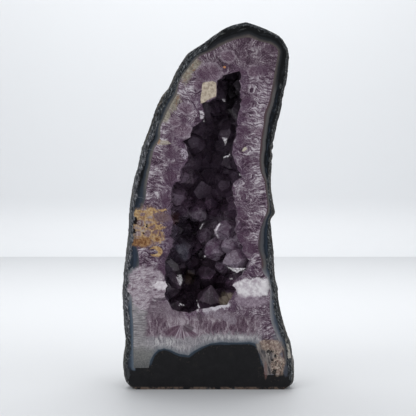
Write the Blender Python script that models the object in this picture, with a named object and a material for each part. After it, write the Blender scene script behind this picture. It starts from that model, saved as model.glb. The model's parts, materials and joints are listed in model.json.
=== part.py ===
"""An amethyst geode, cut open down its front and sawn flat underneath so that it stands.

Two pieces: the basalt rind with its agate lining and dark foot, and the amethyst crust that lines
the hollow. The polished cut face looks along -Y, +Z is up, and the origin is at the middle of the
base. Outlines are in millimetres, as (height, across) pairs, and meshes are made in metres.
"""
import math
import random

import bmesh
import bpy
from mathutils import Matrix, Vector, noise

MM = 0.001

# Driving dimensions, in millimetres.
HEIGHT = 368.0
CRUST_GAP = 0.3
RIM_INSET = 2.5
RIM_DEPTH = 11.0
SECTION_POWER = 0.86
RIND_BACK = 17.0
THIN_TOP_WIDTH = 60.0
POCKET_LOW = 10.0
POCKET_TOP = 352.0
CROWN_TOP = 352.7
CROWN_SWEEP = 10.2
FACE_REACH = 20.0
BACK_REACH = 220.0
BROAD_LUMP, BROAD_PITCH = 5.0, 0.022
KNOB, KNOB_PITCH = 2.6, 0.055
LUMP_FADE = 30.0
SHARP_ANGLE = math.radians(40)

# The stone: its left and right edge and its depth behind the cut face, at each height.
STONE_LEFT = [
    (0, -75), (3.5, -80), (8.5, -83.5), (14, -84.7), (27, -85.7), (45, -83.6), (64, -84.6), (90, -86.3),
    (112, -85.6), (130, -83.6), (152, -80.7), (177, -79.6), (190, -78.5), (204, -76), (217, -73.4),
    (228, -69.9), (241, -67.2), (256, -61.3), (268, -57), (282, -52.2), (293, -47.1), (304, -39),
    (316, -33.8), (328, -26.8), (337, -20.2), (345, -8.6), (354, 4), (359.5, 12), (364.5, 22.5), (368, 38.5),
]
STONE_RIGHT = [
    (0, 78), (4.5, 84.5), (12, 86.5), (24, 86.6), (35, 85.5), (45, 83.4), (54, 80.2), (65, 76.4), (77, 73.4),
    (90, 71), (100, 69.8), (110, 67.9), (125, 66.4), (140, 65.8), (152, 64.4), (165, 63.3), (170, 63.2),
    (175.5, 67), (180, 67), (190, 65.1), (200, 63.9), (210, 63.5), (222, 64.5), (230, 64.9), (246, 65.9),
    (258, 67.9), (270, 70.5), (278, 73), (299, 76.5), (309, 79.2), (321, 80.8), (331, 81.6), (340, 80.9),
    (346.5, 78.2), (354, 72.4), (359.5, 62.5), (364, 51.5), (368, 38.5),
]
STONE_DEPTH = [
    (0, 108), (4, 114), (12, 118), (40, 130), (90, 146), (140, 150), (190, 146), (240, 132), (285, 108),
    (320, 80), (345, 52), (358, 32), (365, 16), (368, 3),
]

# The line on the cut face where the agate ends and the amethyst begins.
AGATE_LEFT = [
    (8, -74), (22, -74.2), (40, -74.7), (64, -74.8), (80, -76), (95, -76), (109, -74.8), (121, -69.7),
    (134, -69.6), (147, -72.4), (163, -70.8), (177, -68), (190, -63), (204, -61.5), (218, -58.8),
    (240, -54.3), (252, -48.2), (262, -47.7), (271, -44.2), (283, -38.6), (295, -32), (307, -28.8),
    (314, -25.4), (324, -17.6), (333, -9), (339, 4), (345.5, 16), (350, 27), (352.7, 40.5),
]
AGATE_RIGHT = [
    (8, 72), (18, 72.6), (29, 74.5), (40, 74), (50, 70.2), (57, 67), (69, 63), (82, 61.6), (96, 62.1),
    (109, 60.2), (119, 54.2), (129, 53.3), (140, 50.4), (148, 50.4), (160, 52.2), (169, 55.4), (178, 58.7),
    (186, 59.4), (200, 57.6), (209, 56.2), (218, 52.6), (228, 51.5), (240, 52), (252, 53.3), (264, 55.4),
    (276, 56.5), (288, 61), (300, 63.6), (321, 67.3), (331, 69.1), (340, 69.4), (345.5, 62.5), (348.5, 51.5),
    (352.7, 40.5),
]

# The top line of the dark foot, from left to right, with the feet of the two quartz legs.
FOOT_TOP = [
    (-110, 21.5), (-59.5, 21.5), (-57.5, 28.5), (-54.7, 34.5), (-49.7, 39.5), (-43.5, 40.7), (-37.5, 39),
    (-28.5, 35.2), (-19.7, 34), (-13.5, 38.5), (-6, 42.5), (1.5, 45.5), (12.5, 47), (31.5, 46.5), (41.5, 47),
    (47.5, 45.5), (50.9, 40.5), (53.5, 32), (55.3, 23.5), (57.1, 14.5), (110, 14.5),
]

# The edge of the hollow on the cut face: its left and its right side, with straight lines between.
FACE_LEFT = [
    (76.5, -18.5), (79.5, -36), (88.5, -39.7), (95.5, -43.5), (103.5, -41), (109.5, -42.5), (119.5, -43.5),
    (127, -43.5), (137, -38.5), (148.5, -34.7), (153.5, -38.5), (167.5, -34.7), (177.5, -37.5),
    (196.5, -37.5), (205.5, -35), (209, -27.7), (217.5, -28.5), (221.5, -25.5), (228.5, -21.5), (234.5, -19),
    (242, -21.5), (248, -25.5), (252.5, -18), (262.5, -15.5), (267.5, -6.5), (276, -3.5), (285.5, -5.8),
    (291.5, 7.5), (299.5, 8.5), (309.5, 8.5), (311.5, 13.5), (316.5, 15.5),
]
FACE_RIGHT = [
    (79.5, -12.5), (83, 10), (85.5, 19), (99.5, 28.5), (103.5, 24), (108.5, 26.5), (112, 31.5), (120.5, 38.5),
    (128.5, 42.5), (134.5, 36.5), (142.5, 34.5), (151.5, 29.5), (159.5, 27.5), (167.5, 29), (177.5, 29.5),
    (199.5, 23.5), (209, 27), (211.5, 34.5), (216.5, 32), (223.5, 28.5), (235.5, 24.5), (245.5, 25.5),
    (257.5, 28.5), (269.5, 29.5), (289.5, 33.5), (294.5, 32), (308.5, 32), (318.5, 32.5),
]

# The wall that the crystals stand on, behind the lip: left and right edge and depth.
WALL_LEFT = [
    (68, -18), (74, -34), (80, -45), (90, -50), (104, -52), (124, -52), (140, -47), (170, -46), (196, -46),
    (206, -42), (216, -37), (230, -32), (246, -32), (256, -27), (266, -20), (276, -14), (290, -10), (300, -3),
    (312, 2), (322, 10),
]
WALL_RIGHT = [
    (68, 0), (74, 14), (80, 24), (88, 33), (100, 38), (112, 42), (124, 48), (134, 48), (146, 44), (160, 41),
    (178, 40), (200, 35), (209, 38), (216, 41), (226, 37), (240, 35), (256, 37), (270, 39), (290, 42),
    (308, 41), (316, 38), (322, 30),
]
WALL_DEPTH = [
    (68, 20), (76, 42), (90, 60), (104, 64), (120, 56), (150, 50), (190, 54), (210, 64), (240, 68), (275, 58),
    (300, 46), (315, 30), (322, 14),
]

# The crystals: how far apart and how thick they grow, how deep they are rooted in the wall, and the
# angle between a crystal's own axis and the line square to each of its end faces.
LIP = 5.0
LIP_SLANT = 2.8
CRYSTAL_PITCH = 20.0
CRYSTAL_RADIUS = 13.0
CRYSTAL_ROOT = 9.0
CRYSTAL_TILT = 0.25
CRYSTAL_TAPER = 1.06
SIDES = 6
POINT_ANGLE = math.radians(51.8)
FORWARD = Vector((0.0, -1.0, 0.01))

# The crystals that stand out most. At a roll of 0 an edge of the prism looks forward, at 30 a face.
LEADING = [
    # point x, depth, z       way it looks          radius, length, roll in degrees, uneven
    ((14.5, 7.5, 126.0), (-0.84, -0.44, -0.22), 12.5, 38, -12, 0.12),
    ((6.5, 11.0, 158.5), (-0.74, -0.64, 0.06), 11.5, 38, 24, 0.16),
    ((13.0, 9.0, 142.0), (-0.78, -0.58, -0.10), 10.0, 36, 20, 0.15),
    ((-2.5, 14.0, 133.0), (-0.66, -0.62, -0.40), 11.0, 42, 22, 0.15),
    ((24.0, 7.5, 150.0), (-0.75, -0.60, 0.20), 8.0, 30, 10, 0.2),
    ((-2.5, 24.0, 121.0), (-0.10, -0.86, 0.48), 9.5, 50, 12, 0.1),
    ((-5.0, 26.0, 156.0), (-0.10, -0.92, 0.30), 8.5, 50, 20, 0.15),
    ((-10.0, 24.0, 170.0), (0.04, -0.90, -0.42), 10.0, 50, 6, 0.15),
    ((-24.0, 26.0, 172.5), (0.24, -0.88, -0.40), 7.5, 40, 14, 0.15),
    ((3.5, 30.0, 182.0), (0.10, -0.94, -0.30), 7.5, 44, 28, 0.15),
    ((-20.0, 24.0, 129.0), (0.56, -0.72, -0.40), 12.5, 48, 16, 0.15),
    ((-27.5, 12.0, 100.0), (0.60, -0.48, -0.62), 6.5, 26, 10, 0.2),
    ((-29.0, 15.0, 98.0), (0.84, -0.50, -0.02), 10.5, 32, 4, 0.1),
    ((-31.0, 14.0, 88.0), (0.50, -0.42, 0.76), 7.5, 28, 8, 0.2),
    ((2.5, 16.0, 103.5), (0.06, -0.42, 0.90), 13.5, 36, 3, 0.05),
    ((12.0, 24.0, 117.5), (-0.24, -0.88, -0.36), 7.5, 44, 20, 0.2),
    ((14.5, 11.0, 92.5), (-0.40, -0.52, 0.74), 8.5, 26, 5, 0.2),
    ((27.5, 12.0, 269.5), (-0.36, -0.46, -0.80), 8.0, 28, 14, 0.2),
    ((17.5, 22.0, 249.0), (-0.16, -0.84, -0.52), 9.5, 38, -4, 0.15),
    ((-19.5, 12.0, 213.0), (0.82, -0.52, -0.16), 8.0, 30, 12, 0.2),
    ((-8.0, 32.0, 240.0), (0.36, -0.80, -0.46), 10.5, 44, 24, 0.15),
    ((-8.5, 13.0, 252.0), (0.86, -0.42, 0.24), 8.5, 30, 2, 0.2),
    ((14.0, 30.0, 199.0), (-0.30, -0.90, -0.20), 9.5, 50, 18, 0.2),
    ((20.0, 16.0, 179.0), (-0.74, -0.60, -0.20), 8.5, 34, 27, 0.2),
    ((21.0, 17.0, 233.0), (-0.72, -0.62, -0.20), 7.5, 28, 9, 0.2),
    ((-24.0, 14.0, 194.0), (0.78, -0.56, 0.14), 9.0, 30, 14, 0.2),
]


def read_at(table, height):
    """Reads a (height, value) table with a smooth curve through its points."""
    if height <= table[0][0]:
        return float(table[0][1])
    if height >= table[-1][0]:
        return float(table[-1][1])
    index = max(i for i in range(len(table) - 1) if table[i][0] <= height)

    def slope(i):
        low, high = table[max(i - 1, 0)], table[min(i + 1, len(table) - 1)]
        return (high[1] - low[1]) / (high[0] - low[0])

    (z0, v0), (z1, v1) = table[index], table[index + 1]
    span = z1 - z0
    u = (height - z0) / span
    return (
        v0 * (2 * u**3 - 3 * u**2 + 1)
        + v1 * (3 * u**2 - 2 * u**3)
        + span * slope(index) * (u**3 - 2 * u**2 + u)
        + span * slope(index + 1) * (u**3 - u**2)
    )


def section(left, right, depth, around):
    """A U-shaped curve from the left edge on the face, round the back, to the right edge."""
    middle, half = (left + right) / 2, (right - left) / 2
    points = []
    for step in range(around + 1):
        angle = math.pi * step / around
        c, s = math.cos(angle), math.sin(angle)
        across = -math.copysign(abs(c) ** SECTION_POWER, c)
        points.append((middle + half * across, depth * max(s, 0.0) ** SECTION_POWER))
    return points


def heights(bottom, top, count, ease):
    """Levels that stand closer together towards the top, where the stone closes over."""
    return [bottom + (top - bottom) * (1 - (1 - i / count) ** ease) for i in range(count + 1)]


def loft(name, rings):
    """A closed body through rings of equal length, with a flat lid at each end."""
    bm = bmesh.new()
    loops = [[bm.verts.new(Vector(point) * MM) for point in ring] for ring in rings]
    for low, high in zip(loops, loops[1:]):
        for i in range(len(low)):
            j = (i + 1) % len(low)
            bm.faces.new((low[i], low[j], high[j]))
            bm.faces.new((low[i], high[j], high[i]))
    bm.faces.new(loops[0][::-1])
    bm.faces.new(loops[-1])
    bmesh.ops.recalc_face_normals(bm, faces=bm.faces)
    return finish_mesh(bm, name)


def finish_mesh(bm, name):
    """Turns a bmesh into an object of the scene."""
    mesh = bpy.data.meshes.new(name)
    bm.to_mesh(mesh)
    bm.free()
    body = bpy.data.objects.new(name, mesh)
    bpy.context.scene.collection.objects.link(body)
    return body


def combine(target, operand, operation):
    """Applies one exact Boolean of an object, or of a collection, to the target, then drops the operand."""
    modifier = target.modifiers.new("combine", "BOOLEAN")
    modifier.solver = "EXACT"
    modifier.operation = operation
    if isinstance(operand, bpy.types.Collection):
        modifier.operand_type = "COLLECTION"
        modifier.collection = operand
        members = list(operand.objects)
    else:
        modifier.object = operand
        members = [operand]
    depsgraph = bpy.context.evaluated_depsgraph_get()
    made = bpy.data.meshes.new_from_object(target.evaluated_get(depsgraph))
    target.modifiers.clear()
    target.data = made
    for member in members:
        bpy.data.objects.remove(member)


def lump(point):
    """How far the rough stone stands out or in at a point: broad swellings and knobs."""
    broad = noise.noise(point * BROAD_PITCH)
    knobs = noise.noise(point * KNOB_PITCH + Vector((7, 3, 1)))
    return BROAD_LUMP * broad + KNOB * knobs


def stone_ring(height, around=28):
    """One level of the outer stone. The cut face is its straight side, at y = 0."""
    left, right = read_at(STONE_LEFT, height), read_at(STONE_RIGHT, height)
    depth = read_at(STONE_DEPTH, height)
    middle = (left + right) / 2
    ring = []
    for x, y in section(left, right, depth, around):
        to_rim = max(0.0, 1 - y / RIM_DEPTH)
        inset = min(RIM_INSET * to_rim**2, 0.3 * (right - left))
        x += math.copysign(inset, middle - x)
        fade = min(1.0, max(0.0, (y - RIM_DEPTH) / LUMP_FADE)) * min(1.0, depth / THIN_TOP_WIDTH)
        outward = Vector((x - middle, y - depth * 0.3))
        if outward.length > 0:
            outward.normalize()
        push = lump(Vector((x, y, height))) * fade
        ring.append((x + outward.x * push, y + outward.y * push, height))
    return ring


def pocket(name, gap, around=10):
    """The space inside the agate lining, which the crust fills, drawn in by the gap on every side."""
    rings = []
    for height in heights(POCKET_LOW, POCKET_TOP, 30, 1.5):
        left, right = read_at(AGATE_LEFT, height) + gap, read_at(AGATE_RIGHT, height) - gap
        depth = read_at(STONE_DEPTH, height) - RIND_BACK * min(1.0, (right - left) / THIN_TOP_WIDTH)
        depth = min(depth, CROWN_SWEEP * math.sqrt(CROWN_TOP - height)) - gap
        level = height - gap * (height - POCKET_LOW) / (POCKET_TOP - POCKET_LOW)
        ring = [(x, y, level) for x, y in section(left, right, depth, around)]
        front = [(right, -FACE_REACH, level), (left, -FACE_REACH, level)]
        rings.append(ring + front)
    body = loft(name, rings)
    (left_end, _), (right_end, _) = FOOT_TOP[0], FOOT_TOP[-1]
    outline = [(x, z + gap) for x, z in FOOT_TOP] + [(right_end, -FACE_REACH), (left_end, -FACE_REACH)]
    foot = loft("foot", [[(x, y, z) for x, z in outline] for y in (-2 * FACE_REACH, BACK_REACH)])
    combine(body, foot, "DIFFERENCE")
    return body


def wall_point(height, turn):
    """A point of the wall that the crystals stand on. turn runs from 0, left, to 1, right."""
    left, right = read_at(WALL_LEFT, height), read_at(WALL_RIGHT, height)
    depth = read_at(WALL_DEPTH, height)
    angle = math.pi * turn
    c, s = math.cos(angle), max(math.sin(angle), 0.0)
    x = (left + right) / 2 - (right - left) / 2 * math.copysign(abs(c) ** SECTION_POWER, c)
    return Vector((x, LIP + (depth - LIP) * s**SECTION_POWER, height))


def wall_axis(height, turn):
    """The direction square to the wall, towards the heart of the hollow."""
    bottom, top = WALL_LEFT[0][0], WALL_LEFT[-1][0]
    along = wall_point(height, min(turn + 0.02, 1)) - wall_point(height, max(turn - 0.02, 0))
    up = wall_point(min(height + 3, top), turn) - wall_point(max(height - 3, bottom), turn)
    axis = along.cross(up).normalized()
    left, right = wall_point(height, 0), wall_point(height, 1)
    heart = Vector(((left.x + right.x) / 2, wall_point(height, 0.5).y * 0.35, height))
    return -axis if axis.dot(heart - wall_point(height, turn)) < 0 else axis


def open_air(around=10, levels=14):
    """The hollow and its mouth on the cut, before any crystal stands in it."""
    rings = []
    for height in heights(WALL_LEFT[0][0], WALL_LEFT[-1][0], levels, 1.0):
        rings.append([tuple(wall_point(height, step / around)) for step in range(around + 1)])
    air = loft("air", rings)
    rng = random.Random(3)
    left = [(x, z) for z, x in FACE_LEFT]
    right = [(x, z) for z, x in reversed(FACE_RIGHT)]
    drawn = [(x + rng.uniform(0.2, LIP_SLANT), z) for x, z in left]
    drawn += [(x - rng.uniform(0.2, LIP_SLANT), z) for x, z in right]
    lines = ((-2 * FACE_REACH, left + right), (0, left + right), (LIP + 2, drawn))
    mouth = loft("mouth", [[(x, y, z) for x, z in line] for y, line in lines])
    combine(air, mouth, "UNION")
    return air


def crystal(group, tip, axis, radius, length, roll, uneven):
    """A six-sided prism that ends in three broad and three narrow faces, which meet at the tip."""
    bm = bmesh.new()
    forward = (FORWARD - axis * FORWARD.dot(axis)).normalized()
    turned = Matrix((forward, axis.cross(forward), axis)).transposed() @ Matrix.Rotation(roll, 3, "Z")
    rings = []
    step = 2 * math.pi / SIDES
    for height, width in ((-length, radius * CRYSTAL_TAPER), (radius, radius)):
        angles = [step * k for k in range(SIDES)]
        corners = [Vector((math.cos(a) * width, math.sin(a) * width, height)) for a in angles]
        rings.append([bm.verts.new((tip + turned @ corner) * MM) for corner in corners])
    for k in range(SIDES):
        j = (k + 1) % SIDES
        bm.faces.new((rings[0][k], rings[0][j], rings[1][j], rings[1][k]))
    bm.faces.new(rings[0][::-1])
    bm.faces.new(rings[1])
    for k in range(SIDES):
        angle = step * (k + 0.5)
        across = Vector((math.cos(angle), math.sin(angle), 0)) * math.sin(POINT_ANGLE)
        normal = turned @ (across + Vector((0, 0, math.cos(POINT_ANGLE))))
        place = (tip + normal * (uneven * radius if k % 2 else 0.0)) * MM
        parts = bm.verts[:] + bm.edges[:] + bm.faces[:]
        bmesh.ops.bisect_plane(bm, geom=parts, dist=1e-7, plane_co=place, plane_no=normal, clear_outer=True)
        rim = [edge for edge in bm.edges if edge.is_boundary]
        if rim:
            bmesh.ops.contextual_create(bm, geom=rim)
    bmesh.ops.recalc_face_normals(bm, faces=bm.faces)
    grown = finish_mesh(bm, f"crystal_{len(group.objects)}")
    bpy.context.scene.collection.objects.unlink(grown)
    group.objects.link(grown)


def grow_crystals(group):
    """Crystals all over the wall in staggered rows. Fewer and smaller ones where the hollow narrows."""
    rng = random.Random(11)
    bottom, top = WALL_LEFT[0][0], WALL_LEFT[-1][0]
    rows = round((top - bottom) / (CRYSTAL_PITCH * 0.88))
    for row in range(rows + 1):
        height = bottom + (top - bottom) * row / rows
        height = min(max(height, bottom + 2), top - 3)
        fine = [wall_point(height, step / 60) for step in range(61)]
        girth = sum((b - a).length for a, b in zip(fine, fine[1:]))
        half = (read_at(WALL_RIGHT, height) - read_at(WALL_LEFT, height)) / 2
        size = min(1.0, 0.45 + half / 60)
        count = max(3, round(girth / (CRYSTAL_PITCH * (0.35 + 0.65 * size))))
        for i in range(count + 1):
            turn = (i + 0.5 * (row % 2) + rng.uniform(-0.22, 0.22)) / count
            turn = min(max(turn, 0.0), 1.0)
            at = min(max(height + rng.uniform(-0.15, 0.15) * CRYSTAL_PITCH, bottom + 1), top - 1)
            tilt = Vector((rng.uniform(-1, 1), rng.uniform(-1, 1), rng.uniform(-1, 1)))
            axis = (wall_axis(at, turn) + CRYSTAL_TILT * tilt).normalized()
            radius = CRYSTAL_RADIUS * size * rng.uniform(0.75, 1.15)
            reach = radius * rng.uniform(0.9, 1.5)
            roll, uneven = rng.uniform(0, math.pi), rng.uniform(0.05, 0.4)
            root = wall_point(at, turn)
            tip = root + axis * reach
            if min(root.y, tip.y + 0.3 * radius) > radius + 1.5:
                crystal(group, tip, axis, radius, reach + CRYSTAL_ROOT, roll, uneven)


def keep_largest_shell(body):
    """Drops loose shells, such as a pocket sealed between crystals, and needle-thin faces."""
    bm = bmesh.new()
    bm.from_mesh(body.data)
    bmesh.ops.dissolve_degenerate(bm, edges=bm.edges, dist=2e-6)
    waiting, shells = set(bm.faces), []
    while waiting:
        stack, shell = [waiting.pop()], []
        while stack:
            face = stack.pop()
            shell.append(face)
            for edge in face.edges:
                for other in edge.link_faces:
                    if other in waiting:
                        waiting.remove(other)
                        stack.append(other)
        shells.append(shell)
    shells.sort(key=len)
    for shell in shells[:-1]:
        bmesh.ops.delete(bm, geom=shell, context="FACES")
    bm.to_mesh(body.data)
    bm.free()


def dress(body, name, colour, roughness):
    """Gives the body one material of its own."""
    made = bpy.data.materials.new(name)
    made.use_nodes = True
    shader = made.node_tree.nodes["Principled BSDF"]
    shader.inputs["Base Color"].default_value = (*colour, 1)
    shader.inputs["Roughness"].default_value = roughness
    shader.inputs["Metallic"].default_value = 0.0
    body.data.materials.clear()
    body.data.materials.append(made)
    for polygon in body.data.polygons:
        polygon.material_index = 0


def smooth_round_skin(body):
    """Shades the weathered outside smooth, and keeps the cut, the base and the pocket's edge crisp."""
    body.data.shade_smooth()
    body.data.set_sharp_from_angle(angle=SHARP_ANGLE)


def make_rind():
    """The rough stone, open in front where the pocket is cut from it."""
    levels = [0, 1.5, 4.5, 9] + heights(15, HEIGHT - 0.8, 33, 1.45)
    rind = loft("rind", [stone_ring(height) for height in levels])
    combine(rind, pocket("pocket", 0.0), "DIFFERENCE")
    keep_largest_shell(rind)
    dress(rind, "basalt and agate", (0.035, 0.036, 0.042), 0.55)
    smooth_round_skin(rind)
    return rind


def make_crust():
    """The quartz that fills the pocket, hollowed, grown over with crystals and cut flat in front."""
    group = bpy.data.collections.new("crystals")
    bpy.context.scene.collection.children.link(group)
    for tip, axis, radius, length, roll, uneven in LEADING:
        crystal(group, Vector(tip), Vector(axis).normalized(), radius, length, math.radians(roll), uneven)
    grow_crystals(group)
    air = open_air()
    combine(air, group, "DIFFERENCE")
    keep_largest_shell(air)
    crust = pocket("amethyst_crust", CRUST_GAP)
    combine(crust, air, "DIFFERENCE")
    plan = ((-BACK_REACH, 0), (BACK_REACH, 0), (BACK_REACH, BACK_REACH), (-BACK_REACH, BACK_REACH))
    levels = (-FACE_REACH, HEIGHT + FACE_REACH)
    behind_cut = loft("behind_cut", [[(x, y, z) for x, y in plan] for z in levels])
    combine(crust, behind_cut, "INTERSECT")
    keep_largest_shell(crust)
    dress(crust, "amethyst", (0.16, 0.1, 0.15), 0.15)
    return crust


def centre_on_base(bodies):
    """Moves all the pieces together so that the origin is at the middle of the base."""
    corners = [vertex.co for body in bodies for vertex in body.data.vertices]
    low = [min(co[axis] for co in corners) for axis in range(3)]
    high = [max(co[axis] for co in corners) for axis in range(3)]
    shift = Vector((-(low[0] + high[0]) / 2, -(low[1] + high[1]) / 2, -low[2]))
    for body in bodies:
        body.data.transform(Matrix.Translation(shift))


def main():
    for old in list(bpy.data.objects):
        bpy.data.objects.remove(old)
    rind = make_rind()
    crust = make_crust()
    centre_on_base([rind, crust])
    for body in (rind, crust):
        body.data.update()
        print(body.name, len(body.data.polygons), "faces")


main()
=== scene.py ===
# %% [markdown]
# An amethyst geode stands on its sawn base. It has two grown layers: a rough basalt rind lined with
# agate, and inside it a crust of quartz whose free side is covered in purple crystals. The stone was
# sawn down its front and the cut was polished, so the picture is half flat section and half cave.
# This lesson builds both layers around a fixed frame that gives their size and place.

# %% Load the frame
import json
import math
import random

import bmesh
import bpy
import numpy as np
from mathutils import Matrix, Vector, noise

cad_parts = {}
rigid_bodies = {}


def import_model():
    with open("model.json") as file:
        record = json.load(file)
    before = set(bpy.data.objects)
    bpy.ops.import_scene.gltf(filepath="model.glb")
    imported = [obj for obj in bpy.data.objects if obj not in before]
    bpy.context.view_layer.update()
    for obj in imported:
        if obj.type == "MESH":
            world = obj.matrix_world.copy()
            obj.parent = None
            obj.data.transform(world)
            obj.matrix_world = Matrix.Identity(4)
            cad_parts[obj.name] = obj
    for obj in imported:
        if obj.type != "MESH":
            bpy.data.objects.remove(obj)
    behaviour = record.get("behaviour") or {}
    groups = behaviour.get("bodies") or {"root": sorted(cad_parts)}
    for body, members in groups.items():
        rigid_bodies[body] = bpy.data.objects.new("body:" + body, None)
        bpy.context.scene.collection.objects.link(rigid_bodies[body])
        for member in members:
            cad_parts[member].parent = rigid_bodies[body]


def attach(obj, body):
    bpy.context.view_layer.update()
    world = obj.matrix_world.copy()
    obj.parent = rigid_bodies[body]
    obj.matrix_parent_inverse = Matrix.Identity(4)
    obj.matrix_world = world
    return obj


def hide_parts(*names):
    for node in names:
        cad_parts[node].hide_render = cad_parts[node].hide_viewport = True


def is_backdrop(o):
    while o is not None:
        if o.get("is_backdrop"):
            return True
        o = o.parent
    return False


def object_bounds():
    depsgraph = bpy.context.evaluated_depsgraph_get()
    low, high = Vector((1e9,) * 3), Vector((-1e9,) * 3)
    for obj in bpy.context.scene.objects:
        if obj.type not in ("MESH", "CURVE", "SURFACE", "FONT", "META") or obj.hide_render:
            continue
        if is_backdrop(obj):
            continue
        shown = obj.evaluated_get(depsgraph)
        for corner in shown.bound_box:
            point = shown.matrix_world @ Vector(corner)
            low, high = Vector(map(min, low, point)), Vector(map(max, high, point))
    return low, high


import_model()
MM = 0.001
frame_low, frame_high = (np.array(corner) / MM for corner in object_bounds())
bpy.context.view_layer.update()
print("frame, mm:", (frame_high - frame_low).round(1))

# %% [markdown]
# The stone leans and bulges, so it is described the way a mason would: at each height, how far its
# left and right edges stand from a plumb line, and how deep it is behind the cut. The same kind of
# table gives the line where the agate ends and the wall that the crystals grow from. All are in
# millimetres, and a smooth curve is read through them.

# %% Outlines of the stone, the agate line and the hollow
HEIGHT = 368.0
CRUST_GAP = 0.15
RIM_INSET = 2.5
RIM_DEPTH = 11.0
SECTION_POWER = 0.86
RIND_BACK, FULL_WIDTH = 17.0, 60.0
POCKET_LOW, POCKET_TOP = 10.0, 352.0
POCKET_DOME, DOME_SLACK = 10.2, 0.7

STONE_LEFT = [
    (0, -75), (3.5, -80), (8.5, -83.5), (14, -84.7), (27, -85.7), (45, -83.6), (64, -84.6), (90, -86.3),
    (112, -85.6), (130, -83.6), (152, -80.7), (177, -79.6), (190, -78.5), (204, -76), (217, -73.4),
    (228, -69.9), (241, -67.2), (256, -61.3), (268, -57), (282, -52.2), (293, -47.1), (304, -39),
    (316, -33.8), (328, -26.8), (337, -20.2), (345, -8.6), (354, 4), (359.5, 12), (364.5, 22.5), (368, 38.5),
]
STONE_RIGHT = [
    (0, 78), (4.5, 84.5), (12, 86.5), (24, 86.6), (35, 85.5), (45, 83.4), (54, 80.2), (65, 76.4), (77, 73.4),
    (90, 71), (100, 69.8), (110, 67.9), (125, 66.4), (140, 65.8), (152, 64.4), (165, 63.3), (170, 63.2),
    (175.5, 67), (180, 67), (190, 65.1), (200, 63.9), (210, 63.5), (222, 64.5), (230, 64.9), (246, 65.9),
    (258, 67.9), (270, 70.5), (278, 73), (299, 76.5), (309, 79.2), (321, 80.8), (331, 81.6), (340, 80.9),
    (346.5, 78.2), (354, 72.4), (359.5, 62.5), (364, 51.5), (368, 38.5),
]
STONE_DEPTH = [
    (0, 108), (4, 114), (12, 118), (40, 130), (90, 146), (140, 150), (190, 146), (240, 132), (285, 108),
    (320, 80), (345, 52), (358, 32), (365, 16), (368, 3),
]
AGATE_LEFT = [
    (8, -74), (22, -74.2), (40, -74.7), (64, -74.8), (80, -76), (95, -76), (109, -74.8), (121, -69.7),
    (134, -69.6), (147, -72.4), (163, -70.8), (177, -68), (190, -63), (204, -61.5), (218, -58.8),
    (240, -54.3), (252, -48.2), (262, -47.7), (271, -44.2), (283, -38.6), (295, -32), (307, -28.8),
    (314, -25.4), (324, -17.6), (333, -9), (339, 4), (345.5, 16), (350, 27), (352.7, 40.5),
]
AGATE_RIGHT = [
    (8, 72), (18, 72.6), (29, 74.5), (40, 74), (50, 70.2), (57, 67), (69, 63), (82, 61.6), (96, 62.1),
    (109, 60.2), (119, 54.2), (129, 53.3), (140, 50.4), (148, 50.4), (160, 52.2), (169, 55.4), (178, 58.7),
    (186, 59.4), (200, 57.6), (209, 56.2), (218, 52.6), (228, 51.5), (240, 52), (252, 53.3), (264, 55.4),
    (276, 56.5), (288, 61), (300, 63.6), (321, 67.3), (331, 69.1), (340, 69.4), (345.5, 62.5), (348.5, 51.5),
    (352.7, 40.5),
]
FOOT_TOP = [
    (-110, 21.5), (-59.5, 21.5), (-57.5, 28.5), (-54.7, 34.5), (-49.7, 39.5), (-43.5, 40.7), (-37.5, 39),
    (-28.5, 35.2), (-19.7, 34), (-13.5, 38.5), (-6, 42.5), (1.5, 45.5), (12.5, 47), (31.5, 46.5), (41.5, 47),
    (47.5, 45.5), (50.9, 40.5), (53.5, 32), (55.3, 23.5), (57.1, 14.5), (110, 14.5),
]
FACE_LEFT = [
    (76.5, -18.5), (79.5, -36), (88.5, -39.7), (95.5, -43.5), (103.5, -41), (109.5, -42.5), (119.5, -43.5),
    (127, -43.5), (137, -38.5), (148.5, -34.7), (153.5, -38.5), (167.5, -34.7), (177.5, -37.5),
    (196.5, -37.5), (205.5, -35), (209, -27.7), (217.5, -28.5), (221.5, -25.5), (228.5, -21.5), (234.5, -19),
    (242, -21.5), (248, -25.5), (252.5, -18), (262.5, -15.5), (267.5, -6.5), (276, -3.5), (285.5, -5.8),
    (291.5, 7.5), (299.5, 8.5), (309.5, 8.5), (311.5, 13.5), (316.5, 15.5),
]
FACE_RIGHT = [
    (79.5, -12.5), (83, 10), (85.5, 19), (99.5, 28.5), (103.5, 24), (108.5, 26.5), (112, 31.5), (120.5, 38.5),
    (128.5, 42.5), (134.5, 36.5), (142.5, 34.5), (151.5, 29.5), (159.5, 27.5), (167.5, 29), (177.5, 29.5),
    (199.5, 23.5), (209, 27), (211.5, 34.5), (216.5, 32), (223.5, 28.5), (235.5, 24.5), (245.5, 25.5),
    (257.5, 28.5), (269.5, 29.5), (289.5, 33.5), (294.5, 32), (308.5, 32), (318.5, 32.5),
]
WALL_LEFT = [
    (68, -18), (74, -34), (80, -45), (90, -50), (104, -52), (124, -52), (140, -47), (170, -46), (196, -46),
    (206, -42), (216, -37), (230, -32), (246, -32), (256, -27), (266, -20), (276, -14), (290, -10), (300, -3),
    (312, 2), (322, 10),
]
WALL_RIGHT = [
    (68, 0), (74, 14), (80, 24), (88, 33), (100, 38), (112, 42), (124, 48), (134, 48), (146, 44), (160, 41),
    (178, 40), (200, 35), (209, 38), (216, 41), (226, 37), (240, 35), (256, 37), (270, 39), (290, 42),
    (308, 41), (316, 38), (322, 30),
]
WALL_DEPTH = [
    (68, 20), (76, 42), (90, 60), (104, 64), (120, 56), (150, 50), (190, 54), (210, 64), (240, 68), (275, 58),
    (300, 46), (315, 30), (322, 14),
]
LIP, LIP_SLANT = 5.0, 2.8


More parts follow.
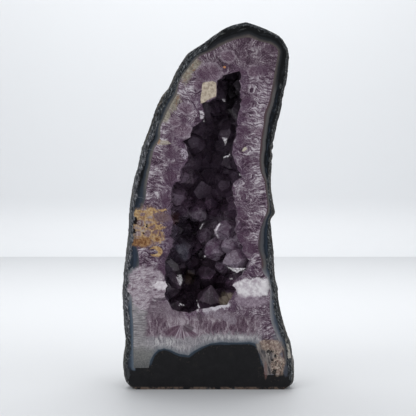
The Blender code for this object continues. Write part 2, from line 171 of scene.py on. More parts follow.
def read_at(table, height):
    """Reads a (height, value) table with a smooth curve through its points."""
    if height <= table[0][0]:
        return float(table[0][1])
    if height >= table[-1][0]:
        return float(table[-1][1])
    index = max(i for i in range(len(table) - 1) if table[i][0] <= height)

    def slope(i):
        low, high = table[max(i - 1, 0)], table[min(i + 1, len(table) - 1)]
        return (high[1] - low[1]) / (high[0] - low[0])

    (z0, v0), (z1, v1) = table[index], table[index + 1]
    span = z1 - z0
    u = (height - z0) / span
    return (
        v0 * (2 * u**3 - 3 * u**2 + 1)
        + v1 * (3 * u**2 - 2 * u**3)
        + span * slope(index) * (u**3 - 2 * u**2 + u)
        + span * slope(index + 1) * (u**3 - u**2)
    )


def heights(bottom, top, count, ease):
    """Levels that stand closer together towards the top, where the stone closes over."""
    return [bottom + (top - bottom) * (1 - (1 - i / count) ** ease) for i in range(count + 1)]


print("outline points:", len(STONE_LEFT) + len(STONE_RIGHT))

# %% [markdown]
# Level sections turn those tables into solids. Each level is a U that runs from the left edge on the
# face, round the back, to the right edge, and a straight front that closes it. The front is split into
# many short steps, because the bands on the polished cut are coloured from values kept at its points.

# %% Level sections and lofts
def section(left, right, depth, around, crowd=0.0):
    """A U from the left edge, round the back, to the right edge; crowd packs points near the face."""
    middle, half = (left + right) / 2, (right - left) / 2
    points = []
    for step in range(around + 1):
        u = step / around
        angle = math.pi * (u - crowd * math.sin(2 * math.pi * u) / (2 * math.pi))
        c, s = math.cos(angle), max(math.sin(angle), 0.0)
        points.append((middle - half * math.copysign(abs(c) ** SECTION_POWER, c), depth * s**SECTION_POWER))
    return points


def add_body(bm, name):
    """Turns a bmesh in millimetres into an object in metres."""
    bmesh.ops.recalc_face_normals(bm, faces=bm.faces)
    mesh = bpy.data.meshes.new(name)
    bm.to_mesh(mesh)
    bm.free()
    mesh.transform(Matrix.Scale(MM, 4))
    body = bpy.data.objects.new(name, mesh)
    bpy.context.scene.collection.objects.link(body)
    return body


def loft(name, rings):
    """A closed body through rings of equal length, with a lid at each end."""
    bm = bmesh.new()
    loops = [[bm.verts.new(point) for point in ring] for ring in rings]
    for low, high in zip(loops, loops[1:]):
        for i in range(len(low)):
            j = (i + 1) % len(low)
            bm.faces.new((low[i], low[j], high[j]))
            bm.faces.new((low[i], high[j], high[i]))
    bm.faces.new(loops[0][::-1])
    bm.faces.new(loops[-1])
    return add_body(bm, name)


def front_steps(left, right, level, count, forward=0.0):
    """Points of the straight front, from the right edge back to the left, without its ends."""
    return [(right + (left - right) * k / (count + 1), -forward, level) for k in range(1, count + 1)]


def combine(target, operand, operation, solver="EXACT"):
    """Applies one Boolean of an object or a collection to the target, then removes the operand."""
    modifier = target.modifiers.new("combine", "BOOLEAN")
    modifier.solver = solver
    modifier.operation = operation
    if isinstance(operand, bpy.types.Collection):
        modifier.operand_type = "COLLECTION"
        modifier.collection = operand
        members = list(operand.objects)
    else:
        modifier.object = operand
        members = [operand]
    depsgraph = bpy.context.evaluated_depsgraph_get()
    made = bpy.data.meshes.new_from_object(target.evaluated_get(depsgraph))
    target.modifiers.clear()
    target.data = made
    for member in members:
        bpy.data.objects.remove(member)


def keep_largest_shell(body):
    """Drops loose shells, such as a pocket that is sealed between crystals."""
    bm = bmesh.new()
    bm.from_mesh(body.data)
    waiting, shells = set(bm.faces), []
    while waiting:
        stack, shell = [waiting.pop()], []
        while stack:
            face = stack.pop()
            shell.append(face)
            for edge in face.edges:
                for other in edge.link_faces:
                    if other in waiting:
                        waiting.remove(other)
                        stack.append(other)
        shells.append(shell)
    shells.sort(key=len)
    for shell in shells[:-1]:
        bmesh.ops.delete(bm, geom=shell, context="FACES")
    bm.to_mesh(body.data)
    bm.free()


# %% [markdown]
# Basalt weathers into swellings, fist-like knobs and small pits. Three sizes of noise give that: the
# broad one is the same as in the frame, so the outline agrees, and the finer ones only cut inwards, so
# the stone never grows past the frame. Near the cut the edge is chipped, not lumpy.

# %% Rind: rough stone surface
noise.seed_set(7)  # a noise vector starts from the clock if no seed is set
KNOB, GRAIN, CRUMB, PIT = 1.7, 1.0, 0.5, 3.6
LONG_CHIP, SHORT_CHIP, SMALL_CHIP = 1.4, 1.2, 1.9
AROUND, RIND_FRONT_STEPS, RIND_LEVELS = 190, 112, 250
SKIN = 1.0
CLOSER_AT_TOP = 1.35


def broad_lump(point):
    """The swellings that the frame has too."""
    return 5.0 * noise.noise(point * 0.022) + 2.6 * noise.noise(point * 0.055 + Vector((7, 3, 1)))


def fine_cut(point):
    """How far weathering has eaten in: knobs of about 9 mm, grains of about 3 mm, and sparse pits."""
    near = noise.voronoi(point * 0.11 + 0.5 * noise.noise_vector(point * 0.07))[0]
    knob = min(near[0] * 1.5, 1.0) * (0.55 + 0.9 * noise.noise(point * 0.05 + Vector((2, 8, 4))))
    grain = 0.5 + 0.5 * noise.noise(point * 0.38)
    crumb = 0.5 + 0.5 * noise.noise(point * 0.8)
    pit = max(0.0, noise.noise(point * 0.16 + Vector((3, 9, 5))) - 0.25)
    return KNOB * max(knob, 0.0) ** 2 + GRAIN * grain + CRUMB * crumb + PIT * pit


def rim_chip(height, side):
    """How far the edge of the cut is chipped in, at a height on the left (-1) or right (1)."""
    at = Vector((side * 31.0, 5.0, height))
    long_chip = max(0.0, noise.noise(at * 0.05) - 0.05) * LONG_CHIP
    short_chip = max(0.0, noise.noise(at * 0.21 + Vector((4, 0, 0)))) * SHORT_CHIP
    small_chip = max(0.0, noise.noise(at * 0.47 + Vector((9, 0, 0)))) * SMALL_CHIP
    return (long_chip + short_chip + small_chip) * min(1.0, (HEIGHT - height) / 8)


def stone_ring(height):
    """One fine level of the outer stone, with its rough skin and its chipped rim."""
    left, right = read_at(STONE_LEFT, height), read_at(STONE_RIGHT, height)
    depth = read_at(STONE_DEPTH, height)
    middle = (left + right) / 2
    ring = []
    for x, y in section(left, right, depth, AROUND, crowd=0.72):
        side = math.copysign(1, x - middle)
        to_rim = max(0.0, 1 - y / RIM_DEPTH)
        inset = min(RIM_INSET * to_rim**2, 0.3 * (right - left))
        inset += rim_chip(height, side) * max(0.0, 1 - y / 5)
        x -= side * min(inset, abs(x - middle))
        at = Vector((x, y, height))
        outward = Vector((x - middle, y - depth * 0.3))
        if outward.length > 0:
            outward.normalize()
        fade = min(1.0, max(0.0, (y - RIM_DEPTH) / 30)) * min(1.0, depth / 60)
        rough = min(1.0, y / 3) * min(1.0, depth / 25) * min(1.0, 0.2 + height / 4)
        push = broad_lump(at) * fade + (SKIN - fine_cut(at)) * rough
        ring.append((x + outward.x * push, y + max(outward.y * push, -y), height))
    return ring


def rind_rings():
    """All levels of the stone: close ones at the sawn edge of the base, then up to the tip."""
    levels = [0, 0.7, 1.5, 2.6, 4, 5.5, 7.2] + heights(9, HEIGHT - 0.8, RIND_LEVELS, CLOSER_AT_TOP)
    rings = []
    for height in levels:
        ring = stone_ring(height)
        rings.append(ring + front_steps(ring[0][0], ring[-1][0], height, RIND_FRONT_STEPS))
    return rings


# %% [markdown]
# The quartz fills a pocket inside the agate. The pocket could be modelled as the inside of the rind, but
# then its wall would have to be sewn to the rough outside. Here it is a plain solid that is cut out of
# the stone in one Boolean, and the same solid, drawn in a little, becomes the crust further down.

# %% Rind: cut the pocket
POCKET_AROUND, POCKET_LEVELS = 24, 200
FOOT_SIDE, FOOT_LOW, FOOT_FRONT, FOOT_BACK = 110, -40, -60, 220
PAST_FACE = 20.0


def pocket_rings(gap, around, levels, front, forward):
    """Levels of the space inside the agate lining, drawn in by the gap on every side."""
    rings = []
    for height in levels:
        left, right = read_at(AGATE_LEFT, height) + gap, read_at(AGATE_RIGHT, height) - gap
        depth = read_at(STONE_DEPTH, height) - RIND_BACK * min(1.0, (right - left) / FULL_WIDTH)
        depth = min(depth, POCKET_DOME * math.sqrt(POCKET_TOP + DOME_SLACK - height)) - gap
        level = height - gap * (height - POCKET_LOW) / (POCKET_TOP - POCKET_LOW)
        ring = [(x, y, level) for x, y in section(left, right, depth, around)]
        if forward:
            ring += [(right, -forward, level), (left, -forward, level)]
        ring += front_steps(left, right, level, front, forward)
        rings.append(ring)
    return rings


def foot_block(gap):
    """The dark foot under the quartz, as a block that runs right through from front to back."""
    profile = [(x, z + gap) for x, z in FOOT_TOP] + [(FOOT_SIDE, FOOT_LOW), (-FOOT_SIDE, FOOT_LOW)]
    return loft("foot", [[(x, y, z) for x, z in profile] for y in (FOOT_FRONT, FOOT_BACK)])


def make_rind():
    rind = loft("rind_stone", rind_rings())
    levels = heights(POCKET_LOW, POCKET_TOP, POCKET_LEVELS, CLOSER_AT_TOP)
    pocket = loft("pocket", pocket_rings(0.0, POCKET_AROUND, levels, 0, PAST_FACE))
    combine(pocket, foot_block(0.0), "DIFFERENCE")
    combine(rind, pocket, "DIFFERENCE")
    keep_largest_shell(rind)
    return rind


rind = make_rind()
print("rind faces:", len(rind.data.polygons))

# %% [markdown]
# Amethyst grows as six-sided prisms packed side by side, square to the wall, and only their pointed
# ends stand free. A point is closed by six faces that all make the same angle with the prism, about 52
# degrees between their normals and the axis, but three of them grow faster and end up narrow. Cutting a
# prism with those planes gives every crystal its true angles, however uneven its faces are.

# %% Crystals: one point, and the wall where they grow
SIDES = 6
CRYSTAL_ROOT = 9.0
POINT_ANGLE = math.radians(51.8)
FORWARD = Vector((0.0, -1.0, 0.01))


def wall_point(height, turn):
    """A point of the wall that the crystals stand on. turn runs from 0, left, to 1, right."""
    left, right = read_at(WALL_LEFT, height), read_at(WALL_RIGHT, height)
    depth = read_at(WALL_DEPTH, height)
    angle = math.pi * turn
    c, s = math.cos(angle), max(math.sin(angle), 0.0)
    x = (left + right) / 2 - (right - left) / 2 * math.copysign(abs(c) ** SECTION_POWER, c)
    return Vector((x, LIP + (depth - LIP) * s**SECTION_POWER, height))


def wall_axis(height, turn):
    """The direction square to the wall, towards the heart of the hollow."""
    bottom, top = WALL_LEFT[0][0], WALL_LEFT[-1][0]
    along = wall_point(height, min(turn + 0.02, 1)) - wall_point(height, max(turn - 0.02, 0))
    up = wall_point(min(height + 3, top), turn) - wall_point(max(height - 3, bottom), turn)
    axis = along.cross(up).normalized()
    left, right = wall_point(height, 0), wall_point(height, 1)
    heart = Vector(((left.x + right.x) / 2, wall_point(height, 0.5).y * 0.35, height))
    return -axis if axis.dot(heart - wall_point(height, turn)) < 0 else axis


def crystal(group, tip, axis, radius, length, roll, uneven):
    """A six-sided prism that ends in three broad and three narrow faces, which meet at the tip."""
    bm = bmesh.new()
    forward = (FORWARD - axis * FORWARD.dot(axis)).normalized()
    turned = Matrix((forward, axis.cross(forward), axis)).transposed() @ Matrix.Rotation(roll, 3, "Z")
    rings = []
    for height, width in ((-length, radius * 1.06), (radius, radius)):
        ring = []
        for k in range(SIDES):
            angle = math.pi * k / 3
            corner = Vector((math.cos(angle) * width, math.sin(angle) * width, height))
            ring.append(bm.verts.new(tip + turned @ corner))
        rings.append(ring)
    for k in range(SIDES):
        j = (k + 1) % SIDES
        bm.faces.new((rings[0][k], rings[0][j], rings[1][j], rings[1][k]))
    bm.faces.new(rings[0][::-1])
    bm.faces.new(rings[1])
    for k in range(SIDES):
        angle = math.pi * (k + 0.5) / 3
        across = Vector((math.cos(angle), math.sin(angle), 0)) * math.sin(POINT_ANGLE)
        normal = turned @ (across + Vector((0, 0, math.cos(POINT_ANGLE))))
        place = tip + normal * (uneven * radius if k % 2 else 0.0)
        parts = bm.verts[:] + bm.edges[:] + bm.faces[:]
        bmesh.ops.bisect_plane(bm, geom=parts, plane_co=place, plane_no=normal, clear_outer=True)
        rim = [edge for edge in bm.edges if edge.is_boundary]
        if rim:
            bmesh.ops.contextual_create(bm, geom=rim)
    grown = add_body(bm, f"crystal_{len(group.objects)}")
    bpy.context.scene.collection.objects.unlink(grown)
    group.objects.link(grown)


# %% [markdown]
# The crystals that catch the eye in the picture are given one by one: where the point is, which way it
# looks, how thick it is and how it is turned. The rest are strewn over the wall in staggered rows from
# a fixed seed, first the thick ones and then a finer growth between them. A thick one whose root is
# too near the cut is left out, so the edge of the hollow stays as the saw left it.

# %% Crystals: the leading ones, and the growth all over the wall
LEADING = [
    # point x, depth, z       way it looks          radius, length, roll in degrees, uneven
    ((14.5, 7.5, 126.0), (-0.84, -0.44, -0.22), 12.5, 38, -12, 0.12),
    ((6.5, 11.0, 158.5), (-0.74, -0.64, 0.06), 11.5, 38, 24, 0.16),
    ((13.0, 9.0, 142.0), (-0.78, -0.58, -0.10), 10.0, 36, 20, 0.15),
    ((-2.5, 14.0, 133.0), (-0.66, -0.62, -0.40), 11.0, 42, 22, 0.15),
    ((24.0, 7.5, 150.0), (-0.75, -0.60, 0.20), 8.0, 30, 10, 0.2),
    ((-2.5, 24.0, 121.0), (-0.10, -0.86, 0.48), 9.5, 50, 12, 0.1),
    ((-5.0, 26.0, 156.0), (-0.10, -0.92, 0.30), 8.5, 50, 20, 0.15),
    ((-10.0, 24.0, 170.0), (0.04, -0.90, -0.42), 10.0, 50, 6, 0.15),
    ((-24.0, 26.0, 172.5), (0.24, -0.88, -0.40), 7.5, 40, 14, 0.15),
    ((3.5, 30.0, 182.0), (0.10, -0.94, -0.30), 7.5, 44, 28, 0.15),
    ((-20.0, 24.0, 129.0), (0.56, -0.72, -0.40), 12.5, 48, 16, 0.15),
    ((-27.5, 12.0, 100.0), (0.60, -0.48, -0.62), 6.5, 26, 10, 0.2),
    ((-29.0, 15.0, 98.0), (0.84, -0.50, -0.02), 10.5, 32, 4, 0.1),
    ((-31.0, 14.0, 88.0), (0.50, -0.42, 0.76), 7.5, 28, 8, 0.2),
    ((2.5, 16.0, 103.5), (0.06, -0.42, 0.90), 13.5, 36, 3, 0.05),
    ((12.0, 24.0, 117.5), (-0.24, -0.88, -0.36), 7.5, 44, 20, 0.2),
    ((14.5, 11.0, 92.5), (-0.40, -0.52, 0.74), 8.5, 26, 5, 0.2),
    ((27.5, 12.0, 269.5), (-0.36, -0.46, -0.80), 8.0, 28, 14, 0.2),
    ((17.5, 22.0, 249.0), (-0.16, -0.84, -0.52), 9.5, 38, -4, 0.15),
    ((-19.5, 12.0, 213.0), (0.82, -0.52, -0.16), 8.0, 30, 12, 0.2),
    ((-8.0, 32.0, 240.0), (0.36, -0.80, -0.46), 10.5, 44, 24, 0.15),
    ((-8.5, 13.0, 252.0), (0.86, -0.42, 0.24), 8.5, 30, 2, 0.2),
    ((14.0, 30.0, 199.0), (-0.30, -0.90, -0.20), 9.5, 50, 18, 0.2),
    ((20.0, 16.0, 179.0), (-0.74, -0.60, -0.20), 8.5, 34, 27, 0.2),
    ((21.0, 17.0, 233.0), (-0.72, -0.62, -0.20), 7.5, 28, 9, 0.2),
    ((-24.0, 14.0, 194.0), (0.78, -0.56, 0.14), 9.0, 30, 14, 0.2),
]


def place_leading(group):
    for tip, axis, radius, length, roll, uneven in LEADING:
        crystal(group, Vector(tip), Vector(axis).normalized(), radius, length, math.radians(roll), uneven)


def grow_crystals(group, seed, pitch, base_radius, tilt_by, reaches):
    """Crystals all over the wall in staggered rows. Fewer and smaller ones where the hollow narrows."""
    rng = random.Random(seed)
    bottom, top = WALL_LEFT[0][0], WALL_LEFT[-1][0]
    rows = round((top - bottom) / (pitch * 0.88))
    for row in range(rows + 1):
        height = bottom + (top - bottom) * row / rows
        height = min(max(height, bottom + 2), top - 3)
        fine = [wall_point(height, step / 60) for step in range(61)]
        girth = sum((b - a).length for a, b in zip(fine, fine[1:]))
        half = (read_at(WALL_RIGHT, height) - read_at(WALL_LEFT, height)) / 2
        size = min(1.0, 0.45 + half / 60)
        count = max(3, round(girth / (pitch * (0.35 + 0.65 * size))))
        for i in range(count + 1):
            turn = (i + 0.5 * (row % 2) + rng.uniform(-0.22, 0.22)) / count
            turn = min(max(turn, 0.0), 1.0)
            at = min(max(height + rng.uniform(-0.15, 0.15) * pitch, bottom + 1), top - 1)
            tilt = Vector((rng.uniform(-1, 1), rng.uniform(-1, 1), rng.uniform(-1, 1)))
            axis = (wall_axis(at, turn) + tilt_by * tilt).normalized()
            radius = base_radius * size * rng.uniform(0.75, 1.15)
            reach = radius * rng.uniform(*reaches)
            roll, uneven = rng.uniform(0, math.pi), rng.uniform(0.05, 0.4)
            root = wall_point(at, turn)
            tip = root + axis * reach
            if min(root.y, tip.y + 0.3 * radius) > radius + 1.5:
                crystal(group, tip, axis, radius, reach + CRYSTAL_ROOT, roll, uneven)


# %% [markdown]
# The crust could be built as a skin with crystals stuck on it, but it is one grown thing, so it is cut
# from one solid. First the open air of the hollow is made as a solid, with the mouth that the saw left.
# The crystals are taken away from that air, and then the air is taken away from the pocket. What stays
# is the quartz, with every point joined to it and no loose piece.

# %% Crust: the open air as a solid, and the crust as what is left of the pocket
BROAD_PITCH, BROAD_RADIUS = 20.0, 13.0
FINE_PITCH, FINE_RADIUS = 10.5, 6.2
SAW_STEP, SAW_BREAK = 3.2, 0.9
AIR_LEVELS, CRUST_FRONT_STEPS = 40, 108
BEFORE_FACE = -40


def broken_line(line, step, break_by, seed):
    """The line with small breaks in it, as a saw leaves an edge where it ran through crystals."""
    rng = random.Random(seed)
    made = []
    for (x0, z0), (x1, z1) in zip(line, line[1:]):
        count = max(1, round(math.dist((x0, z0), (x1, z1)) / step))
        across = Vector((z1 - z0, x0 - x1)).normalized()
        for k in range(count):
            u, out = k / count, rng.uniform(-break_by, break_by)
            made.append((x0 + (x1 - x0) * u + across.x * out, z0 + (z1 - z0) * u + across.y * out))
    return made


MOUTH_LEFT = broken_line([(x, z) for z, x in FACE_LEFT], SAW_STEP, SAW_BREAK, 21)
MOUTH_RIGHT = broken_line([(x, z) for z, x in reversed(FACE_RIGHT)], SAW_STEP, SAW_BREAK, 22)


def mouth_rings():
    """The edge of the hollow on the cut, with a narrow slanting lip behind it."""
    rng = random.Random(3)
    drawn = [(x + rng.uniform(0.2, LIP_SLANT), z) for x, z in MOUTH_LEFT]
    drawn += [(x - rng.uniform(0.2, LIP_SLANT), z) for x, z in MOUTH_RIGHT]
    edge = MOUTH_LEFT + MOUTH_RIGHT
    return [[(x, y, z) for x, z in line] for y, line in ((BEFORE_FACE, edge), (0, edge), (LIP + 2, drawn))]


def open_air(around, levels):
    """The hollow with its mouth, before any crystal stands in it."""
    rings = []
    for height in heights(WALL_LEFT[0][0], WALL_LEFT[-1][0], levels, 1.0):
        rings.append([tuple(wall_point(height, step / around)) for step in range(around + 1)])
    air = loft("air", rings)
    combine(air, loft("mouth", mouth_rings()), "UNION")
    return air


def make_crust():
    group = bpy.data.collections.new("crystals")
    bpy.context.scene.collection.children.link(group)
    place_leading(group)
    grow_crystals(group, 11, BROAD_PITCH, BROAD_RADIUS, 0.25, (0.9, 1.5))
    grow_crystals(group, 5, FINE_PITCH, FINE_RADIUS, 0.3, (0.8, 1.7))
    air = open_air(POCKET_AROUND, AIR_LEVELS)
    combine(air, group, "DIFFERENCE", "MANIFOLD")
    keep_largest_shell(air)
    levels = heights(POCKET_LOW, POCKET_TOP, POCKET_LEVELS, CLOSER_AT_TOP)
    crust = loft("amethyst", pocket_rings(CRUST_GAP, POCKET_AROUND, levels, CRUST_FRONT_STEPS, 0.0))
    combine(crust, foot_block(CRUST_GAP), "DIFFERENCE")
    combine(crust, air, "DIFFERENCE")
    keep_largest_shell(crust)
    return crust


crust = make_crust()
print("crust faces:", len(crust.data.polygons))

# %% [markdown]
# Both pieces were made with the cut face at y = 0. Here they move together so that their box stands
# where the frame's box stands, and nothing may reach past it.

# %% Set both pieces in the frame
def points_of(body):
    found = np.empty(len(body.data.vertices) * 3, dtype=np.float64)
    body.data.vertices.foreach_get("co", found)
    return found.reshape(-1, 3) / MM


own = points_of(rind)
shift = Vector(((frame_low[0] + frame_high[0]) / 2 - (own[:, 0].min() + own[:, 0].max()) / 2,
                frame_low[1] - own[:, 1].min(), 0)) * MM
for body in (rind, crust):
    body.data.transform(Matrix.Translation(shift))
    inside = np.clip(points_of(body), frame_low, frame_high) * MM
    body.data.vertices.foreach_set("co", inside.ravel())
    body.data.update()
print("moved by, mm:", [round(value / MM, 2) for value in shift])

# %% [markdown]
# The bands of a cut agate follow its wall, so their colour depends on the distance to the agate line.
# Distances are worked out once here with numpy and kept on the points of the mesh, in millimetres:
# how far a point is inside or outside the agate line, how far from the rim, how far from the hollow,
# and how far along the line its nearest point lies, which gives the fibres their direction.

# %% Distances on the cut face
LINE_STEP = 1.5
QUARTZ_LOW, QUARTZ_TOP = 21.5, 352.7
LEG_CORNER = (72.6, 14.5)


def outline(left_table, right_table, bottom, top):
    """A closed outline on the face: up the left side and down the right side."""
    levels = list(np.arange(bottom, top, LINE_STEP)) + [top]
    ups = [(read_at(left_table, level), level) for level in levels]
    downs = [(read_at(right_table, level), level) for level in reversed(levels)]
    return ups + downs


def nearest_on(line, points):
    """The distance from each point to a closed line, and how far along the line its foot is."""
    line = np.array(line)
    after = np.roll(line, -1, axis=0)
    edge = after - line
    length = np.linalg.norm(edge, axis=1)
    keep = length > 1e-6
    line, edge, length = line[keep], edge[keep], length[keep]
    start = np.concatenate([[0], np.cumsum(length)[:-1]])
    best = np.full(len(points), 1e9)
    along = np.zeros(len(points))
    for a, e, size, s in zip(line, edge, length, start):
        offset = points - a
        t = np.clip(offset @ e / size**2, 0, 1)
        gap = np.hypot(offset[:, 0] - t * e[0], offset[:, 1] - t * e[1])
        closer = gap < best
        best[closer] = gap[closer]
        along[closer] = s + t[closer] * size
    return best, along


def inside(line, points):
    """Whether each point is inside a closed line, by counting crossings."""
    line = np.array(line)
    after = np.roll(line, -1, axis=0)
    found = np.zeros(len(points), dtype=bool)
    for (x0, z0), (x1, z1) in zip(line, after):
        if z0 == z1:
            continue
        crosses = (z0 > points[:, 1]) != (z1 > points[:, 1])
        found ^= crosses & (points[:, 0] < x0 + (x1 - x0) * (points[:, 1] - z0) / (z1 - z0))
    return found


def agate_line():
    """The edge of the quartz on the face, with the foot's top as its lower side."""
    return outline(AGATE_LEFT, AGATE_RIGHT, QUARTZ_LOW, QUARTZ_TOP) + [LEG_CORNER] + FOOT_TOP[-2:0:-1]


def keep_value(body, name, values):
    layer = body.data.attributes.new(name, "FLOAT", "POINT")
    layer.data.foreach_set("value", values.astype(np.float32))


rim_line = outline(STONE_LEFT, STONE_RIGHT, 0, HEIGHT)
hollow_line = MOUTH_LEFT + MOUTH_RIGHT
for body in (rind, crust):
    flat = points_of(body)[:, [0, 2]] - np.array([shift.x / MM, 0])
    from_agate, along = nearest_on(agate_line(), flat)
    keep_value(body, "from_agate", from_agate)
    keep_value(body, "along", along)
    keep_value(body, "from_rim", nearest_on(rim_line, flat)[0])
    to_hollow = nearest_on(hollow_line, flat)[0]
    keep_value(body, "to_hollow", np.where(inside(hollow_line, flat), -to_hollow, to_hollow))
print("agate line, mm:", round(sum(math.dist(a, b) for a, b in zip(agate_line(), agate_line()[1:]))))

# %% [markdown]
# A face belongs to the polished cut when it looks straight forward and lies in the cut plane. All
# other faces are rough stone or crystal. Two finishes per piece follow from that.

# %% Which faces are polished
def mark_cut_faces(body):
    """Puts the polished faces in the second material slot, and counts them."""
    front = frame_low[1] * MM
    count = 0
    for face in body.data.polygons:
        polished = face.normal.y < -0.99 and abs(face.center.y - front) < 0.05 * MM
        face.material_index = 1 if polished else 0
        count += int(polished)
    return count


print("polished faces:", mark_cut_faces(rind), mark_cut_faces(crust))

# %% [markdown]
# Shader maths reads better as plain expressions. This small class wraps a socket, and sums, products
# and comparisons of it add Math nodes.

# %% A socket that takes part in expressions
class Wire:
    def __init__(self, tree, socket):
        self.tree, self.socket = tree, socket

    def node(self, kind, settings=None, sockets=None, output=0):
        """Adds a node: its settings first, then the values or links of its sockets."""
        made = self.tree.nodes.new(kind)
        for key, value in (settings or {}).items():
            if key == "stops":
                while len(made.color_ramp.elements) < len(value):
                    made.color_ramp.elements.new(0.5)
                for element, (place, colour) in zip(made.color_ramp.elements, value):
                    element.position, element.color = place, (*colour, 1)
            else:
                setattr(made, key, value)
        for key, value in (sockets or {}).items():
            if isinstance(value, Wire):
                self.tree.links.new(value.socket, made.inputs[key])
            else:
                made.inputs[key].default_value = value
        return Wire(self.tree, made.outputs[output])

    def maths(self, operation, *others):
        return self.node("ShaderNodeMath", {"operation": operation}, dict(enumerate((self, *others))))

    def __add__(self, other):
        return self.maths("ADD", other)

    def __mul__(self, other):
        return self.maths("MULTIPLY", other)

    def __sub__(self, other):
        return self.maths("SUBTRACT", other)

    def __rsub__(self, other):
        return self.node("ShaderNodeMath", {"operation": "SUBTRACT"}, {0: other, 1: self})

    def __truediv__(self, other):
        return self.maths("DIVIDE", other)

    def __pow__(self, other):
        return self.maths("POWER", other)

    __radd__, __rmul__ = __add__, __mul__

    def smooth(self, low, high, start=0.0, end=1.0):
        """Goes smoothly from start to end as the value goes from low to high."""
        sockets = {"Value": self, "From Min": low, "From Max": high, "To Min": start, "To Max": end}
        return self.node("ShaderNodeMapRange", {"interpolation_type": "SMOOTHSTEP"}, sockets)

    def between(self, low, high, soft):
        """1 between low and high, 0 outside, with soft edges."""
        return self.smooth(low - soft, low + soft) * self.smooth(high + soft, high - soft)

    def most(self, other):
        return self.maths("MAXIMUM", other)

    def ramp(self, *stops):
        return self.node("ShaderNodeValToRGB", {"stops": stops}, {"Fac": self})


def mix(factor, first, second):
    """Blends two colours."""
    wire = factor if isinstance(factor, Wire) else first
    return wire.node("ShaderNodeMix", {"data_type": "RGBA"}, {0: factor, 6: first, 7: second}, 2)


def tone(red, green, blue):
    """A colour in steps of 0 to 255, as a screen shows it, turned into a surface colour."""
    def linear(value):
        value = value / 255
        return value / 12.92 if value <= 0.04045 else ((value + 0.055) / 1.055) ** 2.4
    return tuple(linear(value) for value in (red, green, blue))


def rgba(colour):
    return (*colour, 1.0)


# %% [markdown]
# Every stain and band needs to know where it is on the stone, in millimetres, and a stain on a real
# stone never has a clean edge. So each material starts with the same few fields: the place, a soft sway
# that is added to it to make edges ragged, and the distances that are kept on the mesh. Patterns are
# then written as shapes on the stone, such as an oval stain or a straight-sided facet.

# %% The fields that every pattern starts from
class Fields:
    """Gives the patterns of one node tree the place on the stone in millimetres, and a soft sway."""

    def __init__(self, tree):
        self.tree = tree
        start = Wire(tree, None)
        place = start.node("ShaderNodeTexCoord", None, None, 3)
        scaled = start.node("ShaderNodeVectorMath", {"operation": "SCALE"}, {0: place, "Scale": 1 / MM})
        self.place = scaled
        self.x = start.node("ShaderNodeSeparateXYZ", None, {0: scaled}, 0) - shift.x / MM
        self.y = start.node("ShaderNodeSeparateXYZ", None, {0: scaled}, 1)
        self.z = start.node("ShaderNodeSeparateXYZ", None, {0: scaled}, 2)
        drift_sockets = {"Vector": scaled, "Scale": 1 / 6, "Detail": 4.0, "Roughness": 0.68}
        drift = start.node("ShaderNodeTexNoise", None, drift_sockets, 1)
        self.sway_x = start.node("ShaderNodeSeparateXYZ", None, {0: drift}, 0) - 0.5
        self.sway_z = start.node("ShaderNodeSeparateXYZ", None, {0: drift}, 1) - 0.5

    def value(self, name):
        return self.place.node("ShaderNodeAttribute", {"attribute_name": name}, None, 2)

    def join(self, x, y, z=0.0):
        return self.place.node("ShaderNodeCombineXYZ", None, {0: x, 1: y, 2: z})

    def noise(self, size, detail=3.0, rough=0.5, at=None, warp=0.0):
        """Soft noise between 0 and 1 whose lumps are about size millimetres wide."""
        sockets = {"Vector": at or self.place, "Scale": 1 / size, "Detail": detail, "Roughness": rough,
                   "Distortion": warp}
        return self.place.node("ShaderNodeTexNoise", None, sockets)

    def cells(self, size, at=None, feature="F1", output=0):
        """Cells of about that size: the distance in them, or with output 1 a colour of their own."""
        sockets = {"Vector": at or self.place, "Scale": 1 / size, "Randomness": 1.0}
        return self.place.node("ShaderNodeTexVoronoi", {"feature": feature}, sockets, output)

    def own_shade(self, size, at):
        """A value between 0 and 1 that is the same all over one cell."""
        colour = self.cells(size, at, "F1", 1)
        return self.place.node("ShaderNodeSeparateColor", None, {0: colour}, 0)

    def patch(self, x, z, width, height, soft=0.2, ragged=8.0):
        """1 inside a ragged oval stain on the face, centred at x and z, and 0 well outside it."""
        inputs = (self.x, self.z, self.sway_x, self.sway_z, x, z, width, height, soft, ragged)
        return self.x.node("ShaderNodeGroup", {"node_tree": ragged_oval}, dict(enumerate(inputs)))

    def patches(self, places, soft=0.2, ragged=8.0):
        """Several ragged ovals in one mask."""
        found = None
        for place in places:
            made = self.patch(*place, soft, ragged)
            found = made if found is None else found.most(made)
        return found

    def facet(self, *corners, soft=0.4, ragged=0.0):
        """1 inside a straight-sided shape, given by its corners in turn, and 0 outside it."""
        middle = np.mean(corners, axis=0)
        x, z = self.x, self.z
        if ragged:
            x, z = x + self.sway_x * ragged, z + self.sway_z * ragged
        beyond = None
        for a, b in zip(corners, corners[1:] + corners[:1]):
            normal = np.array([b[1] - a[1], a[0] - b[0]], dtype=float)
            normal /= np.linalg.norm(normal)
            if normal @ (middle - a) > 0:
                normal = -normal
            side = x * float(normal[0]) + z * float(normal[1]) - float(normal @ np.array(a))
            beyond = side if beyond is None else beyond.most(side)
        return beyond.smooth(soft, -soft)


# %% [markdown]
# The ochre net and the brown corner run across both pieces, and oval stains are used by the dozen.
# Written out each time they would make trees of thousands of nodes, which are slow to build. A node
# group is made once and then used like a single node, so each of them is one.

